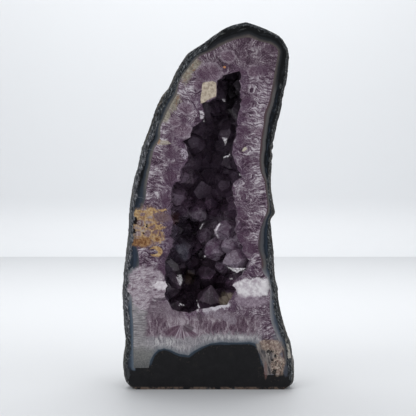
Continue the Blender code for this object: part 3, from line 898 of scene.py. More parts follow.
# %% Parts of a pattern that are made once, as node groups
def new_group(name, kinds, result):
    """An empty node group with inputs of these kinds. Gives the group, its inputs and its output."""
    tree = bpy.data.node_groups.new(name, "ShaderNodeTree")
    for index, kind in enumerate(kinds):
        tree.interface.new_socket(f"in {index}", in_out="INPUT", socket_type=kind)
    tree.interface.new_socket("out", in_out="OUTPUT", socket_type=result)
    entry, leave = tree.nodes.new("NodeGroupInput"), tree.nodes.new("NodeGroupOutput")
    return tree, [Wire(tree, entry.outputs[index]) for index in range(len(kinds))], leave.inputs[0]


def make_ragged_oval():
    tree, wires, out = new_group("ragged oval", ["NodeSocketFloat"] * 10, "NodeSocketFloat")
    x, z, sway_x, sway_z, at_x, at_z, width, height, soft, ragged = wires
    across = (x + sway_x * ragged - at_x) / (width * 0.5)
    up = (z + sway_z * ragged - at_z) / (height * 0.5)
    mask = ((across * across + up * up) ** 0.5).smooth(soft + 1, 1 - soft)
    tree.links.new(mask.socket, out)
    return tree


def once(*numbers):
    """Turns a pattern that is laid over a colour into a node group, made once for all finishes."""
    def keep(paint):
        kinds = ["NodeSocketColor"] + ["NodeSocketFloat"] * len(numbers)
        tree, wires, out = new_group(paint.__name__.replace("_", " "), kinds, "NodeSocketColor")
        tree.links.new(paint(Fields(tree), *wires).socket, out)
        return lambda finish, colour, *values: finish.x.node(
            "ShaderNodeGroup", {"node_tree": tree}, dict(enumerate((colour, *values))))
    return keep


ragged_oval = make_ragged_oval()


# %% [markdown]
# A finish is a material with one glossy shader. What is the same all over a surface is set on the
# shader's own sockets, and only what changes from place to place is linked to it.

# %% Starting a material
class Finish(Fields):
    """A material with a Principled shader, and the fields for its patterns."""

    def __init__(self, name, roughness, specular=0.5, **constants):
        self.material = bpy.data.materials.new(name)
        self.material.use_nodes = True
        super().__init__(self.material.node_tree)
        self.shader = self.tree.nodes["Principled BSDF"]
        self.shader.inputs["Roughness"].default_value = roughness
        self.shader.inputs["Specular IOR Level"].default_value = specular
        for key, value in constants.items():
            self.shader.inputs[key.replace("_", " ")].default_value = value

    def set(self, socket, wire):
        self.tree.links.new(wire.socket, self.shader.inputs[socket])

    def bump(self, height, distance):
        sockets = {"Height": height, "Distance": distance * MM, "Strength": 1.0}
        self.set("Normal", height.node("ShaderNodeBump", None, sockets))


# %% [markdown]
# The rough skin is dark basalt with grey-green weathering in its hollows and pale grains along the
# broken edge. Near the cut the grains are painted stronger and the left side is painted a lighter grey
# in specks, partly as painted highlights where the rough edge catches the light, and the bubble pits are
# painted darker as painted shade. It is matt, and its fine grain is bump, because it is far below
# a millimetre.

# %% Finish: rough basalt
def rough_basalt():
    finish = Finish("rough basalt", 0.8, 0.25)
    broad = finish.noise(26, 4, 0.6)
    fine = finish.noise(2.2, 3, 0.6)
    crust_patch = finish.noise(17, 5, 0.7, None, 0.8)
    colour = broad.ramp((0.32, tone(36, 37, 39)), (0.5, tone(58, 58, 58)), (0.68, tone(92, 89, 84)))
    green = crust_patch.smooth(0.54, 0.66)
    colour = mix(green * 0.55, colour, fine.ramp((0.36, tone(62, 70, 62)), (0.64, tone(104, 112, 98))))
    rusty = finish.noise(21, 4, 0.7, finish.join(finish.x + 60, finish.y, finish.z)).smooth(0.57, 0.68)
    colour = mix(rusty * 0.55, colour, fine.ramp((0.36, tone(74, 58, 46)), (0.64, tone(124, 102, 80))))
    colour = mix(fine.smooth(0.42, 0.66) * 0.85, colour, rgba(tone(30, 31, 33)))
    bubbles = finish.cells(4.6).smooth(0.3, 0.22) * crust_patch.smooth(0.5, 0.42)
    # The bubble pits are painted near-black, as painted shade in the pits.
    colour = mix(bubbles * 0.7, colour, rgba(tone(18, 18, 19)))
    grains = finish.noise(1.8, 2, 0.5).smooth(0.6, 0.72)
    near_cut = (finish.y - frame_low[1]).smooth(14, 2)
    # Painted rim light: the left side near the cut is painted a lighter grey in specks, partly pale chips and
    # partly light that catches the rough edge.
    pale_specks_and_rim_light = near_cut * finish.x.smooth(-60, -66) * finish.z.between(60, 250, 14) * fine.smooth(0.4, 0.5)
    colour = mix(pale_specks_and_rim_light * 0.7, colour, rgba(tone(98, 100, 104)))
    # Pale grains, painted stronger near the cut, partly as painted highlights along the broken edge.
    colour = mix(grains * (near_cut * 0.6 + 0.35), colour, rgba(tone(150, 152, 154)))
    low_right = finish.x.smooth(70, 78) * finish.z.between(20, 64, 4) * near_cut
    streaks = finish.noise(1, 3, 0.6, finish.join(finish.x / 1.6, finish.z / 12)).smooth(0.5, 0.66)
    colour = mix(streaks * low_right * 0.8, colour, rgba(tone(168, 163, 158)))
    chipped_foot = finish.z.smooth(3.4, 1.6) * finish.noise(7, 4, 0.7).smooth(0.4, 0.56) * near_cut
    colour = mix(chipped_foot * 0.8, colour, rgba(tone(116, 98, 86)))
    finish.set("Base Color", colour)
    finish.set("Roughness", fine.smooth(0.3, 0.8, 0.6, 0.95))
    finish.bump(fine + broad * 0.8 - bubbles * 0.9, 0.9)
    return finish.material


# %% [markdown]
# Iron has rusted in the cracks at the left of the cut: a yellow to orange crust of limonite, which runs
# from the agate into the quartz. It is a net of veins round cells, so it starts from a cell pattern:
# the edges of the cells are ochre and their insides are pinkish. Oval stains say where the net lies.

# %% Finish: the ochre net
@once()
def limonite(finish, colour):
    """A net of ochre veins round pale and pinkish cells, darker and closed at its lower left, with pits."""
    swayed = finish.join(finish.x + finish.sway_x * 7, finish.z + finish.sway_z * 7)
    veins = finish.cells(7, swayed, "DISTANCE_TO_EDGE").smooth(0.17, 0.06)
    own = finish.own_shade(7, swayed)
    rings = (finish.cells(7, swayed) * 14).maths("SINE")
    speck = finish.noise(2.2, 3, 0.6)
    ground = finish.patches(((-62, 163, 28, 36), (-53, 172, 20, 14), (-52, 152, 16, 12)), 0.3, 12)
    cell = (speck * 0.7 + own * 0.4 + rings * 0.07 - 0.05).ramp(
        (0.35, tone(104, 72, 68)), (0.5, tone(130, 104, 100)), (0.65, tone(164, 146, 140)))
    colour = mix(ground * 0.75, colour, cell)
    ochre = speck.ramp((0.32, tone(134, 98, 64)), (0.5, tone(170, 138, 96)), (0.66, tone(194, 168, 128)))
    colour = mix(ground * veins * 0.85, colour, ochre)
    arcs = finish.patch(-66, 163, 12, 13, 0.3) * (finish.cells(7, swayed) * 22).maths("SINE").smooth(0.3, 0.8)
    colour = mix(arcs * 0.7, colour, rgba(tone(168, 158, 152)))
    bands = ((-54.5, 178.5, 13, 6), (-47, 180, 12, 2.4), (-48, 162, 13, 4.5), (-72, 176, 5, 8),
             (-76, 156, 4, 24), (-52, 150.5, 9, 5), (-66, 178, 9, 3))
    colour = mix(finish.patches(bands, 0.3, 10) * speck.smooth(0.3, 0.5), colour, ochre)
    rust = speck.ramp((0.35, tone(98, 60, 38)), (0.52, tone(137, 98, 61)), (0.68, tone(162, 128, 90)))
    rusted = finish.patches(((-66, 147.5, 20, 9), (-51, 150, 4, 4), (-62, 148, 12, 6)), 0.4)
    colour = mix(rusted, colour, rust)
    loop = finish.patch(-52, 138, 12, 11, 0.15, 5) * finish.patch(-55, 137.5, 9, 5, 0.3, 5).smooth(0.7, 0.2)
    colour = mix(loop, colour, ochre)
    pink = finish.patch(-46, 172, 17, 10, 0.3, 7)
    colour = mix(pink * 0.9, colour, speck.ramp((0.3, tone(84, 62, 68)), (0.65, tone(118, 98, 102))))
    # The pits are painted near-black, as painted shade in the holes.
    holes = ((-73, 168.5, 4.6, 8), (-74, 158.5, 4.4, 5), (-61, 164, 2, 3), (-64, 156, 2.4, 2))
    return mix(finish.patches(holes, 0.2, 6), colour, rgba(tone(26, 20, 20)))


# %% [markdown]
# Where the quartz has no iron it is milky white. One patch lies low on the left and is grainy, and a
# bright one on the right reaches right through the agate. Both are laid over either piece, so that no
# step shows where the pieces meet.

# %% Finish: the milky quartz
@once()
def white_quartz(finish, colour):
    """Milky quartz: a grainy patch on the left, and a bright one on the right that reaches the agate."""
    slope = finish.z - finish.x * 0.15 + finish.sway_z * 8
    cloud = finish.noise(1, 4, 0.65, finish.join((finish.x + finish.sway_x * 6) / 4.5, slope / 1.7))
    grainy = cloud.ramp((0.3, tone(92, 66, 84)), (0.4, tone(134, 116, 128)), (0.52, tone(168, 157, 166)),
                        (0.66, tone(206, 199, 204)))
    left = finish.patches(((-62, 111, 34, 24), (-60, 100, 44, 24), (-66, 88, 18, 20)), 0.12, 12)
    colour = mix(left * 0.85, colour, grainy)
    streaks = finish.patches(((-57, 89, 5, 3), (-47, 97.5, 8, 2), (-53, 100, 6, 2), (-60, 97, 5, 2),
                              (-56, 112, 10, 2.4), (-60, 107, 7, 2)), 0.4, 7)
    colour = mix(streaks * 0.6, colour, rgba(tone(84, 58, 78)))
    bright = finish.facet((-56, 105), (-50, 109), (-41.5, 108.5), (-41, 102), (-44, 99.5), (-50, 99.5),
                          soft=0.9, ragged=6.0)
    colour = mix(bright, colour, cloud.ramp((0.4, tone(196, 186, 194)), (0.6, tone(224, 219, 223))))
    above = finish.patch(-49.5, 94.5, 18, 6.4, 0.2, 3)
    crack = finish.patch(-47, 91.5, 17, 5, 0.2, 3) * above.smooth(0.8, 0.3)
    colour = mix(crack * 0.8, colour, rgba(tone(58, 40, 56)))
    right = finish.facet((24, 104), (32, 109), (50, 112), (60, 111), (63, 102), (58, 93), (32, 91.5),
                         (28, 97), soft=1.2, ragged=11.0)
    snow = finish.noise(5, 4, 0.6).ramp((0.34, tone(168, 156, 166)), (0.46, tone(194, 186, 193)),
                                        (0.56, tone(214, 209, 213)), (0.66, tone(230, 227, 229)))
    lightest = finish.patches(((35, 96, 12, 9), (56, 103, 9, 15)), 0.6)
    snow = mix(lightest * 0.6, snow, rgba(tone(228, 225, 227)))
    snow = mix(finish.x.smooth(56, 64), snow, rgba(tone(150, 148, 152)))
    colour = mix(right, colour, snow)
    dots = finish.noise(1.3, 1, 0.4).smooth(0.68, 0.74) * finish.patch(51, 105, 8, 12, 0.3, 4)
    colour = mix(dots * 0.8, colour, rgba(tone(92, 86, 92)))
    below = finish.patches(((44, 88, 30, 10), (33, 90, 12, 12)), 0.3)
    return mix(below * 0.75, colour, cloud.ramp((0.32, tone(116, 98, 114)), (0.68, tone(170, 156, 168))))


# %% [markdown]
# The right leg ends in a weathered corner: a cream crust full of pits, and under it streaks that run
# down to the base. The streaks are noise that is stretched along the leg, and the pits are the darkest
# spots of a finer noise.

# %% Finish: the brown corner
@once()
def brown_foot(finish, colour):
    """The right leg: a cream crust with pits above, and grey, pink and cream streaks that run down it."""
    speck = finish.noise(2.4, 4, 0.7)
    slant = finish.x + finish.z * 0.24 + finish.sway_x * 3
    streaks = finish.noise(1, 3, 0.6, finish.join(slant / 2.4, finish.z / 16))
    grey = streaks.ramp((0.34, tone(58, 56, 60)), (0.46, tone(98, 92, 92)), (0.56, tone(126, 118, 114)),
                        (0.68, tone(158, 152, 146)))
    colour = mix(finish.facet((47, 46), (58, 46), (70, 38), (70, 17), (59, 14), ragged=5.0), colour, grey)
    cream = speck.ramp((0.3, tone(62, 48, 44)), (0.42, tone(118, 98, 88)), (0.54, tone(154, 136, 124)),
                       (0.68, tone(190, 178, 166)))
    crust = finish.patches(((63, 44, 20, 12), (69, 40, 12, 12), (56, 47, 9, 5)), 0.25)
    colour = mix(crust * 0.85, colour, cream)
    colour = mix(finish.patch(70, 24, 14, 20, 0.2, 6) * 0.9, colour, cream)
    pitted = finish.patches(((67, 23, 13, 24), (63, 37, 14, 8)), 0.2)
    pits = finish.noise(3.2, 3, 0.6).smooth(0.52, 0.58) * pitted
    # The pits are painted near-black, as painted shade in them.
    colour = mix(pits, colour, rgba(tone(28, 24, 23)))
    colour = mix(finish.patch(57.5, 20, 3, 18, 0.3, 3) * 0.6, colour, rgba(tone(120, 92, 86)))
    return mix(finish.patch(77.5, 19, 5, 12, 0.3, 3) * 0.8, colour, rgba(tone(70, 74, 84)))


# %% [markdown]
# On the cut, the rind is polished as well. From the quartz outwards there is a thin olive-grey line,
# slate-blue agate, near-black basalt and a rough edge with pale chips, whose palest specks are partly
# painted highlights where the broken edge catches the light. Their widths change in step with the width
# of the whole rind, so the colour is read from a share: 0 at the quartz and 1 at the rim.

# %% Finish: the agate bands of the polished rind
def agate_bands(finish, share, contour):
    """The bands from the quartz, share 0, to the rim, share 1, as they differ round the stone."""
    left = share.ramp((0.0, tone(104, 100, 97)), (0.13, tone(88, 86, 85)), (0.2, tone(62, 66, 72)),
                      (0.28, tone(46, 52, 61)), (0.4, tone(38, 44, 51)), (0.52, tone(24, 26, 29)))
    right = share.ramp((0.0, tone(84, 64, 70)), (0.1, tone(76, 66, 68)), (0.2, tone(92, 89, 88)),
                       (0.34, tone(74, 74, 77)), (0.41, tone(28, 33, 40)), (0.55, tone(40, 49, 61)),
                       (0.66, tone(18, 20, 24)))
    top = share.ramp((0.0, tone(92, 84, 82)), (0.12, tone(70, 66, 66)), (0.22, tone(40, 41, 44)),
                     (0.4, tone(25, 27, 30)), (0.6, tone(33, 35, 38)), (0.75, tone(22, 23, 25)))
    slate = share.ramp((0.0, tone(70, 76, 84)), (0.12, tone(44, 52, 65)), (0.3, tone(50, 60, 75)),
                       (0.42, tone(36, 43, 53)), (0.6, tone(42, 52, 65)), (0.8, tone(26, 29, 34)))
    milky = share.ramp((0.0, tone(132, 130, 134)), (0.16, tone(108, 110, 116)), (0.34, tone(72, 80, 92)),
                       (0.52, tone(48, 54, 64)), (0.64, tone(28, 30, 33)))
    strip = share.ramp((0.0, tone(104, 110, 118)), (0.14, tone(78, 90, 104)), (0.3, tone(58, 68, 80)),
                       (0.5, tone(40, 46, 55)), (0.8, tone(24, 26, 29)))
    grey = share.ramp((0.0, tone(134, 132, 136)), (0.4, tone(112, 114, 118)), (0.7, tone(92, 96, 100)),
                      (0.9, tone(48, 50, 53)))
    on_left, on_right = finish.x.smooth(2, -2), finish.x.smooth(-2, 2)
    swayed_z = finish.z + finish.sway_z * 10
    bands = mix(on_right, left, right)
    bands = mix((finish.z + finish.x * 0.35).smooth(318, 336), bands, top)
    bands = mix(on_left * swayed_z.between(121, 200, 10) * swayed_z.smooth(190, 170, 0.6, 0.9), bands, slate)
    bands = mix(on_right * swayed_z.between(132, 172, 6) * 0.3, bands, slate)
    bands = mix(on_left * swayed_z.smooth(122, 119), bands, strip)
    bands = mix(on_left * swayed_z.smooth(121.5, 120) * swayed_z.smooth(82, 96), bands, grey)
    bands = mix(on_right * swayed_z.between(46, 120, 6), bands, milky)
    black_line = contour.maths("ABSOLUTE").smooth(0.13, 0.05) * share.smooth(0.3, 0.4)
    bands = mix(black_line * finish.z.smooth(196, 210) * 0.85, bands, rgba(tone(13, 14, 16)))
    pale_line = (contour - 0.14).maths("ABSOLUTE").smooth(0.06, 0.02) * share.smooth(0.5, 0.6)
    return mix(pale_line * finish.z.smooth(240, 262) * 0.5, bands, rgba(tone(96, 98, 96)))


def broken_rim(finish, colour, rim, along, wave):
    """The strip along the rim where the stone broke and took no polish. Gives it and the colour."""
    on_left, on_right = finish.x.smooth(2, -2), finish.x.smooth(-2, 2)
    worn = 6.0 + on_left * finish.z.smooth(200, 262) * 1.6 - on_right * 2.6
    worn = (worn + on_right * finish.z.smooth(176, 120) * 2.8) * finish.z.smooth(2, 14)
    rough_edge = (rim + finish.sway_x * 9 - worn).smooth(0.8, -0.8)
    streak = finish.noise(1, 4, 0.7, finish.join((rim + along * 0.25) / 1.3, (along + wave * 6) / 4))
    # The palest chips are partly painted highlights where the broken edge catches the light; on the left they
    # are painted paler.
    dark_chips_and_highlights = streak.ramp((0.38, tone(20, 21, 23)), (0.47, tone(42, 44, 47)), (0.55, tone(74, 77, 80)),
                             (0.63, tone(116, 119, 122)), (0.72, tone(160, 163, 166)))
    pale_chips_and_highlights = streak.ramp((0.36, tone(20, 21, 24)), (0.45, tone(56, 58, 62)), (0.54, tone(92, 93, 98)),
                             (0.64, tone(152, 153, 158)))
    chips_and_highlights = mix(on_left * finish.z.between(60, 262, 12), dark_chips_and_highlights, pale_chips_and_highlights)
    colour = mix(rough_edge, colour, chips_and_highlights)
    pale = finish.facet((78, 50), (80.5, 50), (83.5, 32), (80.5, 31), soft=0.6, ragged=4.0)
    colour = mix(pale * streak.smooth(0.36, 0.5), colour, rgba(tone(176, 172, 164)))
    tan = finish.z.smooth(3.2, 1.8) * finish.noise(9, 4, 0.7).smooth(0.45, 0.58)
    return rough_edge, mix(tan * 0.7, colour, rgba(tone(112, 95, 84)))


# %% [markdown]
# The foot is basalt all through, with a thin blue line where the quartz sat on it. The stains that cross
# into the quartz lie over the bands, two pale cracks run across them, and the broken rim comes last,
# because it cuts through everything else.

# %% Finish: the polished rind as a whole
def polished_rind():
    finish = Finish("polished agate and basalt", 0.3, 0.12)
    away, rim, along = finish.value("from_agate"), finish.value("from_rim"), finish.value("along")
    wave = finish.noise(14, 3, 0.6) - 0.5
    lines = finish.noise(1, 3, 0.6, finish.join(along / 13, (away + wave * 5) / 0.75)) - 0.5
    grain = finish.noise(2.5, 3) - 0.5
    share = away / (away + rim + 0.01) + wave * 0.2 + grain * 0.06 + lines * 0.12
    contour = finish.noise(1, 3, 0.6, finish.join(along / 14, (away + wave * 8) / 3.2, 4.0)) - 0.5
    bands = agate_bands(finish, share, contour)
    basalt = finish.noise(7, 5, 0.65).ramp((0.3, tone(24, 24, 26)), (0.6, tone(29, 29, 31)),
                                           (0.85, tone(40, 38, 36)))
    foot_top = (away + wave * 3).smooth(2.6, 0.9) * finish.z.smooth(22, 27)
    in_foot = finish.z.smooth(60, 54) * finish.x.between(-73, 68, 1)
    brown_specks = (away + wave * 9).smooth(9, 3) * finish.noise(2.6, 4, 0.7).smooth(0.56, 0.66)
    basalt = mix(brown_specks * 0.6, basalt, rgba(tone(82, 72, 64)))
    colour = mix(in_foot, bands, mix(foot_top * 0.8, basalt, rgba(tone(56, 67, 79))))
    bottom = (finish.z + finish.sway_z * 10).smooth(24, 19)
    colour = mix(bottom, colour, mix(away.smooth(3.6, 1.8) * finish.x.smooth(-50, -54), basalt, colour))
    colour = limonite(finish, colour)
    colour = white_quartz(finish, colour)
    colour = brown_foot(finish, colour)
    for height in (241.5, 192.5):
        level = finish.z - height + (finish.x + 70) * 0.12 + finish.sway_z * 5
        crack = level.between(-0.3, 0.3, 0.25) * finish.x.smooth(2, -2)
        colour = mix(crack * 0.6, colour, rgba(tone(104, 108, 114)))
    rough_edge, colour = broken_rim(finish, colour, rim, along, wave)
    finish.set("Base Color", colour)
    finish.set("Roughness", rough_edge.smooth(0, 1, 0.22, 0.75))
    finish.bump(finish.noise(1.6, 3) * rough_edge, 0.7)
    return finish.material


# %% [markdown]
# Over the foot the quartz grew straight up. It starts milky white on the foot, and above that stand
# purple fans with pale rays between them. One of them, left of the middle, opens into a full rosette,
# whose rays are noise over the angle round its centre. Legs of grey quartz run down beside the foot.

# %% Finish: the band of quartz over the foot
@once("inward", "grain")
def bottom_band(finish, colour, inward, grain):
    """Over the foot: a milky band with a ragged upper edge, then purple fans with pale rays between."""
    bent = finish.x + finish.sway_x * 8
    upright = finish.noise(1, 3, 0.65, finish.join(bent / 1.5, finish.z / 9))
    calm = finish.patches(((-50, 79, 40, 18), (-36, 70, 24, 22), (12, 74, 30, 10)), 0.3)
    colour = mix(calm * 0.65, colour, (upright * 0.5 + grain * 0.5).ramp((0.38, tone(94, 80, 90)),
                                                                         (0.62, tone(134, 120, 130))))
    low = finish.z.smooth(78, 66) * (finish.x + finish.sway_x * 12).between(-64, 52, 5)
    grown = finish.join((bent + finish.z * 0.06) / 9, finish.z / 19, 2.0)
    core = finish.cells(1, grown, "DISTANCE_TO_EDGE").smooth(0.01, 0.14)
    body = (upright * 1.3 + finish.own_shade(1, grown) * 0.3 - core * 0.2 - 0.14).ramp(
        (0.26, tone(66, 42, 58)), (0.42, tone(94, 74, 88)), (0.58, tone(124, 108, 118)),
        (0.8, tone(172, 162, 169)))
    colour = mix(low * 0.8, colour, body)
    dark_cores = finish.patches(((-61, 60, 9, 12), (-51, 57, 7, 12), (-44, 62, 5, 12), (-7, 66, 9, 13),
                                 (3, 60, 7, 12), (14, 62, 9, 11), (24, 66, 8, 12), (35, 62, 8, 14),
                                 (44, 64, 7, 10)), 0.35, 9)
    colour = mix(dark_cores * 0.6, colour, upright.ramp((0.4, tone(60, 40, 55)), (0.62, tone(110, 90, 104))))
    spread = (finish.z - 65.5).maths("ARCTAN2", finish.x + 26.5)
    rays = finish.noise(1, 2, 0.5, finish.join(spread * 4.6, 0.4)).ramp(
        (0.4, tone(72, 44, 62)), (0.5, tone(104, 80, 96)), (0.6, tone(162, 150, 160)),
        (0.72, tone(184, 176, 182)))
    fan = finish.patch(-26, 56, 30, 20, 0.2, 5) * finish.z.smooth(66, 63)
    colour = mix(fan * 0.85, colour, rays)
    colour = mix(finish.patch(-20, 61, 11, 8, 0.25, 6) * 0.75, colour, rgba(tone(76, 62, 72)))
    ragged = finish.z + (upright - 0.5) * 22 + finish.sway_z * 8 - finish.x.smooth(-20, 0) * 3
    milky = ragged.smooth(54, 50) * finish.x.between(-76, 53, 4)
    band = (grain * 0.35 + upright * 0.65).ramp((0.34, tone(100, 96, 104)), (0.46, tone(134, 130, 136)),
                                                (0.58, tone(168, 165, 168)), (0.68, tone(194, 192, 193)))
    colour = mix(milky, colour, band)
    bright_part = finish.patches(((-44, 46, 20, 14), (22, 51, 40, 7)), 0.5, 6)
    colour = mix(bright_part * upright.smooth(0.4, 0.6) * 0.5, colour, rgba(tone(206, 205, 206)))
    shade_by_foot = inward.smooth(6, 1.5) * finish.z.smooth(58, 52)
    colour = mix(shade_by_foot * 0.65, colour, rgba(tone(98, 103, 110)))
    strip = (finish.x + finish.sway_x * 14).smooth(-58, -66) * (finish.z + finish.sway_z * 10).smooth(108, 84)
    level = finish.noise(1, 3, 0.6, finish.join(finish.x / 7, finish.z / 1.5))
    colour = mix(strip * 0.85, colour, level.ramp((0.36, tone(108, 106, 108)), (0.5, tone(138, 135, 138)),
                                                  (0.64, tone(168, 165, 166))))
    leg = finish.x.smooth(-50, -58) * (finish.z + finish.sway_z * 8).smooth(46, 36)
    colour = mix(leg * 0.9, colour, grain.ramp((0.36, tone(88, 89, 89)), (0.62, tone(120, 120, 118))))
    colour = mix(leg * finish.z.smooth(32, 22) * 0.6, colour, rgba(tone(74, 76, 78)))
    on_foot = finish.z.between(26, 50, 3) * finish.x.between(-60, 50, 2)
    blue = (inward + finish.sway_x * 4).smooth(1.5, 0.3) * on_foot
    return mix(blue * 0.8, colour, rgba(tone(78, 90, 102)))


# %% [markdown]
# The cut shows many marks that stand alone. Rounded crystals that the saw met end-on look like lobes
# with a pale rim, one crystal is cream because it has no iron, and thin seams and dots lie between them.
# Some are painted highlights: two glints beside the hollow, a bright crystal edge, and in part the pale
# crest along the lower lip.
# Each is placed one by one as an oval or a straight-sided shape, and takes its grain from the fibres.

# %% Finish: single marks on the quartz
@once("inward")
def near_agate_stains(finish, colour, inward):
    """Olive and rust beside the agate line on the upper left."""
    close = (inward + finish.sway_x * 14).smooth(9, 5)
    for x, z, width, height in ((-17, 319, 22, 30), (-33, 287, 14, 20), (-44, 276, 12, 18)):
        place = finish.patch(x, z, width, height, 0.3)
        olive = finish.noise(3, 4, 0.6).ramp((0.34, tone(112, 104, 92)), (0.5, tone(142, 136, 120)),
                                             (0.66, tone(170, 164, 150)))
        colour = mix(place * close * 0.85, colour, olive)
        thread = (inward - 3.5 + finish.sway_z * 16).between(-0.4, 0.4, 0.4)
        rust = thread * finish.noise(6, 2).smooth(0.42, 0.56)
        colour = mix(place * rust * 0.9, colour, rgba(tone(124, 78, 48)))
    return colour


@once("grain", "hollow")
def small_marks(finish, colour, grain, hollow):
    """Marks that the cut shows singly: rounded lobes, a cream crystal, seams, dots, painted highlights."""
    lobes = ((1.0, 316.5, 27), (-26, 259, 21), (-9, 305, 14), (-33, 268, 13), (-22, 281, 16),
             (52, 257, 13), (49, 172, 9), (20, 333, 16), (47, 318, 17))
    for x, z, size in lobes:
        lobe = finish.patch(x, z, size, size * 0.82, 0.06, 5)
        heart = finish.patch(x, z, size * 0.8, size * 0.62, 0.2, 5)
        fill = grain.ramp((0.36, tone(82, 58, 76)), (0.64, tone(128, 108, 122)))
        rim = grain.ramp((0.36, tone(116, 100, 112)), (0.64, tone(172, 160, 170)))
        colour = mix(lobe * 0.6, colour, mix(heart, rim, fill))
    dark_places = ((-5, 313, 12, 12), (-6, 305, 9, 6), (-24, 269, 9, 9), (37, 289, 12, 8),
                   (41, 204, 10, 7), (36, 196, 12, 7), (36, 259, 12, 10), (-36, 236, 14, 12),
                   (-34, 226, 16, 6), (54, 320, 14, 10), (32, 318, 10, 12), (-52, 121, 16, 7),
                   (-52, 236, 8, 4), (41, 229, 9, 7), (33, 250, 9, 8), (-44, 117, 12, 6),
                   (41, 140, 16, 16), (34, 152, 10, 12), (-38, 214, 12, 10), (-44, 190, 12, 12),
                   (-36, 252, 10, 12), (46, 232, 8, 12), (33, 176, 10, 14))
    colour = mix(finish.patches(dark_places, 0.45) * 0.7, colour, rgba(tone(74, 50, 70)))
    cream = finish.facet((-5.5, 306.5), (4.5, 308.5), (8, 306.5), (8.6, 293.5), (-0.5, 289.5), (-6.5, 295),
                         ragged=2.5)
    cream = cream.most(finish.facet((-6.5, 297), (0, 290), (-4.5, 286.5), (-7.8, 286.5), ragged=2.5))
    ivory = finish.noise(3, 4, 0.6).ramp((0.3, tone(138, 124, 112)), (0.5, tone(184, 170, 152)),
                                         (0.7, tone(206, 195, 178)))
    colour = mix(cream, colour, ivory)
    # Painted highlights: two glints on the cut beside the hollow, where crystal faces mirror the light.
    painted_glint_tone = grain.ramp((0.4, tone(120, 112, 120)), (0.56, tone(204, 200, 204)))
    for shape in (((-8.8, 279), (-5.6, 279), (-3, 274), (-7.8, 275.5)),
                  ((-8.2, 275), (-3.4, 273), (-3.2, 270.5), (-7.6, 271))):
        colour = mix(finish.facet(*shape, soft=0.5), colour, painted_glint_tone)
    seam = finish.facet((-49.5, 254), (-45.5, 253.5), (-40, 248.5), (-31, 247.5), (-31, 245.5), (-40, 245),
                        (-50.5, 243), ragged=3.0)
    colour = mix(seam * 0.85, colour, grain.ramp((0.36, tone(138, 126, 116)), (0.6, tone(186, 178, 164))))
    colour = mix(finish.patch(-49.5, 248.5, 3, 7, 0.4, 3) * 0.7, colour, rgba(tone(150, 112, 72)))
    fleck = finish.facet((34.5, 238), (36.5, 238), (39.5, 240.5), (37.5, 242.5), (35, 240.5),
                         soft=0.5, ragged=3.0)
    colour = mix(fleck, colour, rgba(tone(188, 180, 164)))
    # Painted highlight along the edge of a crystal beside the hollow.
    edge_highlight = finish.facet((-27, 241), (-22, 239), (-19.5, 234.5), (-23, 229.5), (-27, 232),
                               soft=0.6, ragged=3.0)
    colour = mix(edge_highlight * grain.smooth(0.44, 0.56), colour, rgba(tone(176, 166, 178)))
    # A pale crest along the lower lip of the hollow, partly pale quartz and partly painted highlight.
    lip_crest_and_highlight = (hollow + finish.sway_x * 12).smooth(4.6, 2.6) * finish.x.between(-5, 22, 1.5)
    lip_crest_and_highlight = lip_crest_and_highlight * finish.z.smooth(87, 84.5)
    colour = mix(lip_crest_and_highlight * 0.9, colour, grain.ramp((0.36, tone(166, 158, 168)), (0.54, tone(214, 210, 216))))
    lumps = finish.patches(((0, 78, 9, 9), (9, 75, 9, 9), (18, 72, 8, 8), (25, 69, 8, 8)), 0.15, 4)
    colour = mix(lumps * 0.55, colour, grain.ramp((0.36, tone(112, 98, 112)), (0.6, tone(160, 150, 160))))
    spot = finish.patch(-8.5, 73, 6, 7, 0.25, 4)
    colour = mix(spot * 0.7, colour, rgba(tone(70, 56, 66)))
    colour = mix(finish.patch(16.5, 322.5, 3, 2.4, 0.3, 2), colour, rgba(tone(186, 128, 86)))
    crack = finish.facet((9, 332), (10, 332.5), (16, 323.5), (15, 323), ragged=2.0)
    return mix(crack * 0.8, colour, rgba(tone(34, 24, 32)))


# %% [markdown]
# The cut quartz is a thick pile of fibres that all grew inwards from the agate. Where they start they
# are milky, and towards the hollow the purple gets stronger, with paler and darker bunches beside each
# other. The fibres are noise that is stretched along the way of growth: the place along the agate line
# sets which fibre it is, and the distance from that line sets how far it has grown.

